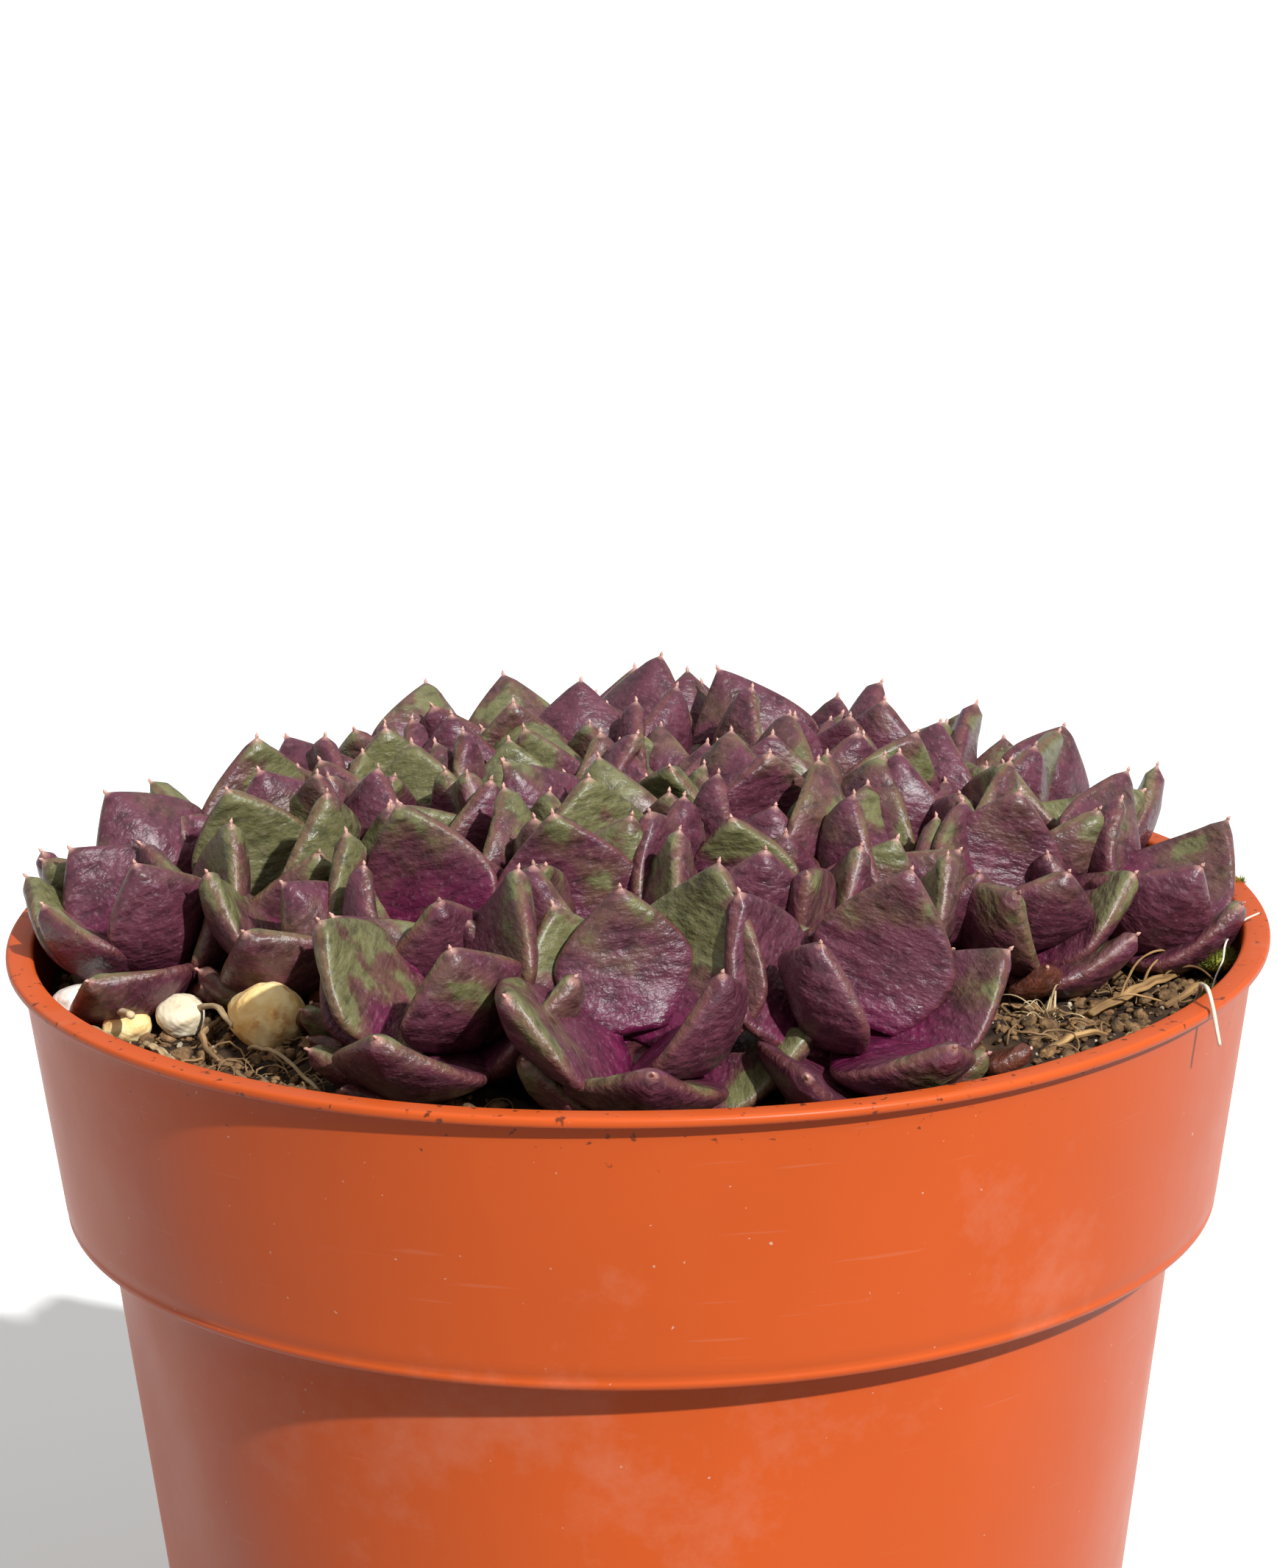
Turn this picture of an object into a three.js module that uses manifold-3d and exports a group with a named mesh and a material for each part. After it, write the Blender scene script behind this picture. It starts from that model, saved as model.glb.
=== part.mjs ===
// A cushion of small, thick-leaved succulent rosettes in a round thermoformed nursery pot.
//
// Frame: millimetres, +Z up, the origin at the centre of the pot's foot. Every piece is one closed
// solid. The plant is a crowd of rosettes that share the pot: each rosette is a short stalk with
// leaves set round it by the golden angle, and the leaves of neighbours lean away from each other.
import * as THREE from "three";
import { mergeVertices } from "three/addons/utils/BufferGeometryUtils.js";
import Module from "manifold-3d";

const wasm = await Module();
wasm.setup();

// ---------------------------------------------------------------- driving dimensions

// Pot
const POT_HEIGHT = 90;
const RIM_RADIUS = 52.5; // outer edge of the flat lip
const LIP_THICKNESS = 0.9;
const LIP_OVERHANG = 1.2; // how far the lip stands out past the collar
const WALL = 1.1;
const COLLAR_HEIGHT = 23.2; // from the top of the lip down to the shoulder
const COLLAR_TAPER = 7.9; // degrees
const SHOULDER_STEP = 3.2; // how far the body stands in from the collar's lower edge
const BODY_TAPER = 7.15; // degrees
const FOOT_WIDTH = 6; // the ring that the pot stands on
const FOOT_HEIGHT = 3;
const EDGE = 0.3; // bevel on the lip and on the collar's lower edge
const SEGMENTS = 36; // round the pot and the soil alike
const DRAIN_RADIUS = 3.6;
const DRAIN_CIRCLE = 19; // radius of the circle that the drain holes lie on
const DRAIN_COUNT = 4;

// Soil
const SOIL_DROP = 5.5; // from the top of the lip down to the soil at the wall
const SOIL_MOUND = 3.4; // how much higher the soil stands under the middle of the plant
const SOIL_ROUGHNESS = 0.35;
const CLEARANCE = 0.3; // between any two pieces that touch

// Plant
const GOLDEN_ANGLE = 137.5; // degrees between one leaf and the next
const OPEN_YOUNG = 22; // degrees that the youngest leaf opens from the rosette's axis
const OPEN_CROWDED = 56; // degrees that the oldest leaf opens in the middle of the plant
const OPEN_EDGE = 80; // and at its edge, where nothing stops it
const ROSETTE_LEAN = 34; // degrees that an outermost rosette leans outwards
const PLANT_MARGIN = 6.5; // from the lip's edge in to where the lean is full
const PLANT_RADIUS = RIM_RADIUS - PLANT_MARGIN;
const STALK_LENGTH = 3.2; // from the youngest leaf's base down to the oldest one's
const STALK_RISE = 4.3; // from the soil up to the youngest leaf's base
const STALK_RADIUS = 2.2;
const LEAF_OFFSET = 1.4; // from the rosette's axis out to the base of a leaf
const STALK_ROOT = 3; // how deep the stalk stands in the soil
const LEAF_WIDTH = 0.7; // share of the leaf's own length
const LEAF_THICKNESS = 0.2; // share of the leaf's own length
const LEAF_BOW = 0.09; // how far the middle bows out, as a share of the length
const LEAF_MARGIN = 1.6; // leaves stay this far inside the lip's edge
const SETTLE_ROUNDS = 30;

// The places below are written for a pot of this rim radius, and they spread with the real one.
const LAYOUT_RIM = 52.5;
const spread = PLANT_RADIUS / (LAYOUT_RIM - PLANT_MARGIN);
const onPlant = ([x, y, ...rest]) => [x * spread, y * spread, ...rest];

// [x, y, leaf length, turn in degrees, number of leaves], front row first
const ROSETTES = [
  [0, -35, 14, 220, 8],
  [17, -32, 13.5, 330, 8],
  [-15, -30, 13.5, 200, 7],
  [-26, -10, 12.5, 200, 7],
  [-17, -16, 13.5, 90, 7],
  [-4, -19, 13.5, 50, 7],
  [18, -17, 12.5, 190, 7],
  [8, -13, 13.5, 320, 7],
  [-40, -5, 12.5, 340, 8],
  [-30, 1, 13.5, 0, 7],
  [-13, -4, 13, 130, 7],
  [-2, -7, 13.5, 280, 7],
  [11, -2, 13.5, 140, 7],
  [21, -5, 12.5, 150, 7],
  [30, -6, 12.5, 50, 8],
  [41, 2, 12.5, 80, 7],
  [-40, 10, 13, 260, 7],
  [-29, 11, 13, 90, 6],
  [-19, 6, 13.5, 40, 7],
  [0, 4, 12.5, 80, 7],
  [11, 9, 13, 30, 6],
  [22, 9, 13, 300, 6],
  [32, 8, 13, 20, 6],
  [-32, 18, 12.5, 330, 7],
  [-20, 16, 13, 180, 6],
  [-9, 11, 13.5, 140, 7],
  [1, 14, 12.5, 120, 7],
  [15, 20, 13, 240, 6],
  [26, 22, 12.5, 280, 7],
  [36, 19, 12.5, 190, 7],
  [-25, 26, 13, 300, 7],
  [-15, 28, 13.5, 220, 7],
  [-8, 21, 13, 60, 6],
  [5, 24, 12.5, 120, 7],
  [-4, 31, 13.5, 280, 7],
  [12, 31, 13, 10, 6],
  [22, 34, 12.5, 220, 7],
  [32, 29, 12.5, 120, 6],
  [-21, 36, 13, 330, 7],
  [-11, 40, 13.5, 320, 7],
  [1, 42, 13.5, 270, 7],
  [13, 40, 13.5, 90, 7],
].map(onPlant);

// Stones on the soil: name, [x, y], radius, squash of the height, colour
const STONES = [
  ["stone_white", [-45.6, -10], 1.9, 0.9, "#d9d8d2"],
  ["stone_yellow_small", [-41.5, -14], 1.5, 0.8, "#b9a15c"],
  ["stone_cream", [-37, -14], 1.5, 0.85, "#c9bfa2"],
  ["stone_yellow", [-29.5, -19], 2.6, 0.85, "#b08d3c"],
];

// Straws, roots and threads that lie on the soil: name, diameter, points [x, y, height over soil].
const STRANDS = [
  ["straw_thick", 1.5, [[-44.4, -14, 1], [-42.6, -18.5, 1.3], [-39.5, -25, 0.9]], "#8d7a5d"],
  ["straw_thin", 0.8, [[-39.6, -18, 0.5], [-37.8, -22, 1], [-36, -26, 0.6]], "#9c8a68"],
  ["twig_left", 0.8, [[-34, -14.5, 0.5], [-35, -19, 0.9], [-33.4, -24, 0.6]], "#6e5640"],
  ["twig_front", 0.8, [[-32, -26, 0.5], [-30.5, -30, 0.9], [-28, -34, 0.6]], "#6e5640"],
  ["root_right", 1, [[36.5, -15.5, 0.6], [41, -10, 1.3], [45, -3.5, 1.2], [47.4, 2, 0.8]], "#a98a61"],
  ["root_fork", 0.8, [[43, -11.5, 0.5], [45.6, -9, 1.6], [47.6, -5.5, 0.7]], "#a08059"],
  ["root_small", 0.8, [[32, -25, 0.5], [35, -21.5, 1], [37.5, -19.5, 0.5]], "#8c7050"],
];

// A fine root that hangs over the lip: diameter and points [x, y, height over the lip]
const HANGING_ROOT = [
  0.8,
  [[44.4, -16, -4.2], [44.8, -20, -0.8], [44.6, -23.4, 0.8], [44.9, -26.4, 0.9], [45.5, -28.6, -2.6]],
];

// A tuft of moss at the wall
const MOSS = { place: [45.2, 11.5], radius: 2.3, squash: 0.6, colour: "#6f7d2c" };

const COLOURS = { pot: "#db693c", soil: "#2a211b", leafGreen: "#5d6b3a", leafPurple: "#6a4452" };

// ---------------------------------------------------------------- solids

const radians = THREE.MathUtils.degToRad;
const lerp = THREE.MathUtils.lerp;

// A closed geometry as a manifold solid, with vertices shared by place alone.
function solidOf(geometry) {
  const bare = new THREE.BufferGeometry();
  const source = geometry.index ? geometry.toNonIndexed() : geometry;
  bare.setAttribute("position", source.getAttribute("position"));
  const merged = mergeVertices(bare, 1e-4);
  return new wasm.Manifold(
    new wasm.Mesh({
      numProp: 3,
      vertProperties: new Float32Array(merged.attributes.position.array),
      triVerts: new Uint32Array(merged.index.array),
    }),
  );
}

function geometryOf(solid) {
  const mesh = solid.getMesh();
  const geometry = new THREE.BufferGeometry();
  geometry.setAttribute("position", new THREE.BufferAttribute(mesh.vertProperties, 3));
  geometry.setIndex(new THREE.BufferAttribute(mesh.triVerts, 1));
  geometry.computeVertexNormals();
  return geometry;
}

// The largest body of a solid: a cut can leave a loose tip behind.
function largestBody(solid) {
  const bodies = solid.decompose();
  return bodies.reduce((most, body) => (body.volume() > most.volume() ? body : most));
}

function boxesMeet(a, b) {
  const p = a.boundingBox();
  const q = b.boundingBox();
  return [0, 1, 2].every((i) => p.min[i] < q.max[i] && q.min[i] < p.max[i]);
}

function cutAway(solid, others) {
  const near = others.filter((other) => boxesMeet(solid, other));
  return near.reduce((left, other) => left.subtract(other), solid);
}

// A turned solid about Z from [radius, height] points.
function turned(points, segments) {
  const profile = points.map(([radius, height]) => new THREE.Vector2(radius, height));
  return new THREE.LatheGeometry(profile, segments).rotateX(Math.PI / 2);
}

// ---------------------------------------------------------------- pot

// Outer radius of the pot's collar and body at a height.
const collarTop = RIM_RADIUS - LIP_OVERHANG;
const shoulderZ = POT_HEIGHT - COLLAR_HEIGHT;
const lipBottomZ = POT_HEIGHT - LIP_THICKNESS;
const collarRadius = (z) => collarTop - (lipBottomZ - z) * Math.tan(radians(COLLAR_TAPER));
const bodyTop = collarRadius(shoulderZ) - SHOULDER_STEP;
const bodyRadius = (z) => bodyTop - (shoulderZ - z) * Math.tan(radians(BODY_TAPER));

// The inside of the pot from the axis out and up, set in by a distance from the material.
function insideProfile(gap) {
  const floorZ = FOOT_HEIGHT + WALL + gap;
  const channelZ = WALL + gap;
  const channelInner = bodyRadius(0) - FOOT_WIDTH + WALL + gap;
  const skin = WALL + gap;
  return [
    [0, floorZ],
    [channelInner, floorZ],
    [channelInner, channelZ],
    [bodyRadius(channelZ) - skin, channelZ],
    [bodyRadius(shoulderZ) - skin, shoulderZ + skin],
    [collarRadius(shoulderZ + skin) - skin, shoulderZ + skin],
  ];
}

// The pot as one skin, grown into its inside and round its lip by a gap.
function potSolid(gap) {
  const rim = RIM_RADIUS + gap;
  const top = POT_HEIGHT + gap;
  const outside = [
    [0, FOOT_HEIGHT],
    [bodyRadius(0) - FOOT_WIDTH, FOOT_HEIGHT],
    [bodyRadius(0) - FOOT_WIDTH, 0],
    [bodyRadius(0), 0],
    [bodyTop, shoulderZ],
    [collarRadius(shoulderZ) - EDGE, shoulderZ],
    [collarRadius(shoulderZ + EDGE), shoulderZ + EDGE],
    [collarTop, lipBottomZ],
    [rim - EDGE, lipBottomZ],
    [rim, lipBottomZ + EDGE],
    [rim, top - EDGE],
    [rim - EDGE, top],
    [collarTop - WALL - gap, top],
  ];
  const inside = insideProfile(gap).reverse();
  const shell = solidOf(turned([...outside, ...inside], SEGMENTS));
  const holes = [];
  for (let i = 0; i < DRAIN_COUNT; i += 1) {
    const angle = ((i + 0.5) * 2 * Math.PI) / DRAIN_COUNT;
    const hole = new THREE.CylinderGeometry(DRAIN_RADIUS, DRAIN_RADIUS, WALL * 4, 12);
    hole.rotateX(Math.PI / 2);
    hole.translate(
      DRAIN_CIRCLE * Math.cos(angle),
      DRAIN_CIRCLE * Math.sin(angle),
      FOOT_HEIGHT + WALL / 2,
    );
    holes.push(solidOf(hole));
  }
  return cutAway(shell, holes);
}

// ---------------------------------------------------------------- soil

const soilEdgeZ = POT_HEIGHT - SOIL_DROP;

// Height of the soil's surface, without its roughness.
function soilHeight(x, y) {
  const share = Math.min(1, Math.hypot(x, y) / (PLANT_RADIUS + 1));
  return soilEdgeZ + SOIL_MOUND * (1 - share * share);
}

// A shallow, repeatable unevenness made of three crossing waves.
function soilWave(x, y) {
  return (
    SOIL_ROUGHNESS *
    (Math.sin(0.43 * x + 1.1) + Math.sin(0.51 * y - 0.4) + 0.7 * Math.sin(0.37 * (x + y)))
  );
}

// The soil bridges the narrow channel inside the foot ring, so its underside is flat.
function soil() {
  const above = insideProfile(CLEARANCE);
  const floorZ = above[0][1];
  const floorRadius = bodyRadius(floorZ) - WALL - CLEARANCE;
  const profile = [[0, floorZ], [floorRadius, floorZ], ...above.slice(4)];
  const edgeRadius = collarRadius(soilEdgeZ) - WALL - CLEARANCE;
  profile.push([edgeRadius, soilEdgeZ]);
  for (const share of [0.86, 0.5]) profile.push([edgeRadius * share, soilEdgeZ]);
  profile.push([0, soilEdgeZ]);
  const geometry = turned(profile, SEGMENTS);
  const position = geometry.getAttribute("position");
  for (let i = 0; i < position.count; i += 1) {
    if (position.getZ(i) < soilEdgeZ - 0.01) continue;
    const x = position.getX(i);
    const y = position.getY(i);
    if (Math.hypot(x, y) > edgeRadius * 0.95) continue;
    position.setZ(i, soilHeight(x, y) + soilWave(x, y));
  }
  return solidOf(geometry);
}

// ---------------------------------------------------------------- rosettes

// 0 in the middle of the plant and 1 at its edge.
const edgeShare = (x, y) => Math.min(1, Math.hypot(x, y) / PLANT_RADIUS);

function rosetteAxis(x, y) {
  const lean = radians(ROSETTE_LEAN) * edgeShare(x, y) ** 1.3;
  const heading = Math.atan2(y, x);
  return new THREE.Vector3(
    Math.sin(lean) * Math.cos(heading),
    Math.sin(lean) * Math.sin(heading),
    Math.cos(lean),
  );
}

// Where the youngest leaf of a rosette starts.
function crownOf(x, y) {
  return new THREE.Vector3(x, y, soilHeight(x, y) + STALK_RISE);
}

// The leaves of one rosette as bases, directions and inner-face normals, before they settle.
function leavesOf([x, y, length, turn, count], rosette) {
  const axis = rosetteAxis(x, y);
  const crown = crownOf(x, y);
  const east = new THREE.Vector3(1, 0, 0).addScaledVector(axis, -axis.x).normalize();
  const north = axis.clone().cross(east);
  const openOld = lerp(OPEN_CROWDED, OPEN_EDGE, edgeShare(x, y) ** 2);
  const leaves = [];
  for (let k = 0; k < count; k += 1) {
    const age = 1 - k / (count - 1);
    const open = radians(lerp(OPEN_YOUNG, openOld, age ** 0.85));
    const around = radians(turn + GOLDEN_ANGLE * k);
    const outward = east.clone().multiplyScalar(Math.cos(around));
    outward.addScaledVector(north, Math.sin(around));
    const direction = axis.clone().multiplyScalar(Math.cos(open));
    direction.addScaledVector(outward, Math.sin(open));
    const inner = axis.clone().multiplyScalar(Math.sin(open));
    inner.addScaledVector(outward, -Math.cos(open));
    const base = crown.clone().addScaledVector(axis, -STALK_LENGTH * age);
    base.addScaledVector(outward, LEAF_OFFSET);
    leaves.push({ rosette, age, base, direction, inner, length: length * (1 - 0.9 * (age - 0.5) ** 2) });
  }
  return leaves;
}

// Beads along a leaf that stand for its bulk while the leaves settle: [share of length, radius].
const BEADS = [
  [0.4, 0.22],
  [0.7, 0.24],
  [0.93, 0.15],
];

// Leans the leaves away from the leaves and stalks of other rosettes, the pot's edge and the soil.
function settle(leaves) {
  const edge = RIM_RADIUS - LEAF_MARGIN;
  const stalks = ROSETTES.map(([x, y], rosette) => ({
    owner: null,
    rosette,
    radius: STALK_RADIUS * 1.4,
    place: crownOf(x, y).addScaledVector(rosetteAxis(x, y), -STALK_LENGTH / 2),
  }));
  for (let round = 0; round < SETTLE_ROUNDS; round += 1) {
    const beads = leaves.flatMap((leaf, owner) =>
      BEADS.map(([share, radius]) => ({
        owner,
        rosette: leaf.rosette,
        share,
        radius: radius * leaf.length,
        place: leaf.base.clone().addScaledVector(leaf.direction, leaf.length * share),
      })),
    );
    beads.push(...stalks);
    const moves = leaves.map(() => new THREE.Vector3());
    for (const bead of beads) {
      if (bead.owner === null) continue;
      const push = new THREE.Vector3();
      for (const other of beads) {
        if (bead.rosette === other.rosette) continue;
        const gap = bead.place.distanceTo(other.place);
        const overlap = bead.radius + other.radius - gap;
        if (overlap <= 0) continue;
        push.addScaledVector(bead.place.clone().sub(other.place), overlap / (gap + 1e-9));
      }
      push.multiplyScalar(0.5 * bead.share);
      const { x, y, z } = bead.place;
      const reach = Math.hypot(x, y);
      const past = Math.max(0, reach + bead.radius - edge);
      push.x -= (past * x) / reach;
      push.y -= (past * y) / reach;
      push.z += 0.7 * Math.max(0, soilHeight(x, y) + bead.radius + CLEARANCE - z);
      moves[bead.owner].add(push);
    }
    leaves.forEach((leaf, i) => {
      leaf.direction.multiplyScalar(leaf.length).addScaledVector(moves[i], 0.7).normalize();
    });
  }
  for (const { inner, direction } of leaves) {
    inner.addScaledVector(direction, -inner.dot(direction)).normalize();
  }
}

const SIDES = 3;
const KEEL = 1.4; // the share of the thickness behind the midline, where 2 is all of it

// Half-widths and half-thicknesses of a leaf along its length, as shares of the largest.
const LEAF_RINGS = [
  [0.04, 0.35, 0.55],
  [0.58, 1, 1],
];

// One leaf: a flat inner face, a keeled back and a point, from three-sided rings,
// grown on all sides by a gap.
function leafSolid(leaf, gap) {
  const side = leaf.direction.clone().cross(leaf.inner);
  const width = (leaf.length * LEAF_WIDTH) / 2;
  const thickness = (leaf.length * LEAF_THICKNESS) / 2;
  const along = (share, inset) =>
    leaf.base
      .clone()
      .addScaledVector(leaf.direction, leaf.length * share + inset)
      .addScaledVector(leaf.inner, -leaf.length * LEAF_BOW * Math.sin(Math.PI * share));
  const points = LEAF_RINGS.flatMap(([share, wide, thick]) => {
    const centre = along(share, share === LEAF_RINGS[0][0] ? -gap : 0);
    const reach = width * wide + gap * 1.4;
    const rise = thickness * thick * (2 - KEEL) + gap;
    return [
      centre.clone().addScaledVector(side, reach).addScaledVector(leaf.inner, rise),
      centre.clone().addScaledVector(side, -reach).addScaledVector(leaf.inner, rise),
      centre.clone().addScaledVector(leaf.inner, -(thickness * thick * KEEL + gap)),
    ];
  });
  points.push(along(1, gap * 2));
  const faces = [0, 1, 2];
  for (let ring = 0; ring < LEAF_RINGS.length - 1; ring += 1) {
    for (let i = 0; i < SIDES; i += 1) {
      const a = ring * SIDES + i;
      const b = ring * SIDES + ((i + 1) % SIDES);
      faces.push(a, b + SIDES, b, a, a + SIDES, b + SIDES);
    }
  }
  const last = (LEAF_RINGS.length - 1) * SIDES;
  for (let i = 0; i < SIDES; i += 1) faces.push(last + i, points.length - 1, last + ((i + 1) % SIDES));
  const geometry = new THREE.BufferGeometry().setFromPoints(points);
  geometry.setIndex(faces);
  return solidOf(geometry);
}

// The stalk, from the youngest leaf's base down into the soil.
function stalkSolid([x, y], gap) {
  const axis = rosetteAxis(x, y);
  const crown = crownOf(x, y);
  const length = (STALK_RISE + STALK_ROOT) / axis.z + gap;
  const stalk = new THREE.CylinderGeometry(STALK_RADIUS + gap, STALK_RADIUS + gap, length, 5);
  stalk.applyQuaternion(new THREE.Quaternion().setFromUnitVectors(new THREE.Vector3(0, 1, 0), axis));
  const centre = crown.addScaledVector(axis, (gap - length) / 2);
  stalk.translate(centre.x, centre.y, centre.z);
  return solidOf(stalk);
}

function rosetteSolid(row, leaves, gap) {
  const parts = leaves.map((leaf) => leafSolid(leaf, gap));
  return wasm.Manifold.union([stalkSolid(row, gap), ...parts]);
}

// ---------------------------------------------------------------- things on the soil

// An uneven pebble, half sunk into the soil.
function pebbleSolid(place, radius, squash, gap) {
  const [x, y] = place;
  const pebble = new THREE.IcosahedronGeometry(radius, 1);
  const position = pebble.getAttribute("position");
  for (let i = 0; i < position.count; i += 1) {
    const p = new THREE.Vector3().fromBufferAttribute(position, i);
    const wave = Math.sin(2.1 * p.x + x) + Math.sin(1.7 * p.y + y) + Math.sin(1.9 * p.z);
    p.multiplyScalar(1 + 0.05 * wave + gap / radius);
    position.setXYZ(i, p.x + x, p.y + y, p.z * squash + soilHeight(x, y) + radius * squash * 0.45);
  }
  return solidOf(pebble);
}

// A round strand along a smooth path through points.
function strandSolid(diameter, points, gap) {
  const path = new THREE.CatmullRomCurve3(points);
  const section = new THREE.Shape();
  const sides = 6;
  for (let i = 0; i < sides; i += 1) {
    const angle = (i * 2 * Math.PI) / sides;
    const radius = diameter / 2 + gap * 1.1;
    if (i === 0) section.moveTo(radius, 0);
    else section.lineTo(radius * Math.cos(angle), radius * Math.sin(angle));
  }
  section.closePath();
  const steps = Math.ceil(path.getLength() / 2.2);
  const geometry = new THREE.ExtrudeGeometry(section, { steps, extrudePath: path, bevelEnabled: false });
  return solidOf(geometry);
}

function onSoil(point) {
  const [x, y, over] = onPlant(point);
  return new THREE.Vector3(x, y, soilHeight(x, y) + soilWave(x, y) + over);
}

function onLip([x, y, over]) {
  const rimSpread = RIM_RADIUS / LAYOUT_RIM;
  return new THREE.Vector3(x * rimSpread, y * rimSpread, POT_HEIGHT + over);
}

// ---------------------------------------------------------------- assembly

// Each later piece gives way to the ones before it by the clearance, and the soil to all but the
// pot, whose inside it already follows.
const pieces = [];
const taken = [];

function addPiece(name, colour, make) {
  const solid = largestBody(cutAway(make(0), taken));
  taken.push(make(CLEARANCE));
  pieces.push({ name, colour, solid });
}

addPiece("pot", COLOURS.pot, potSolid);
for (const [name, place, radius, squash, colour] of STONES) {
  addPiece(name, colour, (gap) => pebbleSolid(onPlant(place), radius, squash, gap));
}

const leaves = ROSETTES.flatMap(leavesOf);
settle(leaves);
ROSETTES.forEach((row, i) => {
  const own = leaves.filter((leaf) => leaf.rosette === i);
  const name = "rosette_" + String(i + 1).padStart(2, "0");
  const colour = i % 3 === 0 ? COLOURS.leafGreen : COLOURS.leafPurple;
  addPiece(name, colour, (gap) => rosetteSolid(row, own, gap));
});

addPiece("moss_tuft", MOSS.colour, (gap) =>
  pebbleSolid(onPlant(MOSS.place), MOSS.radius, MOSS.squash, gap),
);
for (const [name, diameter, points, colour] of STRANDS) {
  addPiece(name, colour, (gap) => strandSolid(diameter, points.map(onSoil), gap));
}
addPiece("root_hanging", "#b59b78", (gap) =>
  strandSolid(HANGING_ROOT[0], HANGING_ROOT[1].map(onLip), gap),
);
const soilSolid = largestBody(cutAway(soil(), taken.slice(1)));
pieces.push({ name: "soil", colour: COLOURS.soil, solid: soilSolid });

const group = new THREE.Group();
for (const { name, colour, solid } of pieces) {
  const material = new THREE.MeshStandardMaterial({ color: colour, roughness: 0.6, metalness: 0 });
  const mesh = new THREE.Mesh(geometryOf(solid), material);
  mesh.name = name;
  group.add(mesh);
}

export default group;
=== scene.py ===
import math

import bmesh
import bpy
import numpy as np
from bpy.props import FloatProperty, FloatVectorProperty, IntProperty, PointerProperty
from mathutils import Matrix, Vector


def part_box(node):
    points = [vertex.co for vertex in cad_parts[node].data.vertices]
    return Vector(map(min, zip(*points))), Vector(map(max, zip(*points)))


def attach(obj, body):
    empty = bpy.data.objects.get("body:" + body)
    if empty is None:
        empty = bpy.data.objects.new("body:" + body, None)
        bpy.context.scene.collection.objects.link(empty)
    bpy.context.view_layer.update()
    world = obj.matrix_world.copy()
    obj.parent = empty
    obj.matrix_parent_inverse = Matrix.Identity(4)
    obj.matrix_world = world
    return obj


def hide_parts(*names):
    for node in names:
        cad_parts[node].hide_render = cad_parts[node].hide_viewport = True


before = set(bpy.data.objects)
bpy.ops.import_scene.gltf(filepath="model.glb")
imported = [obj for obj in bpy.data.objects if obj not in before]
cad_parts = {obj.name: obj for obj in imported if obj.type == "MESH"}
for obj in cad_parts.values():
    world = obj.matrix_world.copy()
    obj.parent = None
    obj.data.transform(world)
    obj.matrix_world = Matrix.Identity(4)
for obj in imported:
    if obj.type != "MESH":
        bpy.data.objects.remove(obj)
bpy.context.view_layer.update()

bl_info = {
    "name": "Potted succulent",
    "version": (1, 0, 0),
    "blender": (4, 5, 0),
    "location": "3D View > Sidebar > Succulent",
    "description": "Builds a cushion of thick-leaved rosettes in a plastic nursery pot",
    "category": "Add Mesh",
}

MM = 0.001

# Draft of the moulded pot, from the vertical
COLLAR_SLOPE = math.tan(math.radians(7.9))
BODY_SLOPE = math.tan(math.radians(7.15))

# ---------------------------------------------------------------- places taken from the frame

POT_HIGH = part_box("pot")[1]
POT_HEIGHT = POT_HIGH.z / MM
RIM_RADIUS = POT_HIGH.x / MM

# Soil surface and rosette layout, in millimetres and degrees, as the frame's model has them.
SOIL_DROP = 5.5
SOIL_MOUND = 3.4
PLANT_RADIUS = 46
GOLDEN_ANGLE = 137.5
OPEN_YOUNG = 22
OPEN_CROWDED = 56
OPEN_EDGE = 80
ROSETTE_LEAN = 34
STALK_LENGTH = 3.2
STALK_RISE = 4.3
STALK_RADIUS = 2.2
STALK_ROOT = 3
LEAF_OFFSET = 1.4
LEAF_MARGIN = 1.6
CLEARANCE = 0.3
SETTLE_ROUNDS = 30
BEADS = ((0.4, 0.22), (0.7, 0.24), (0.93, 0.15))

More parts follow.
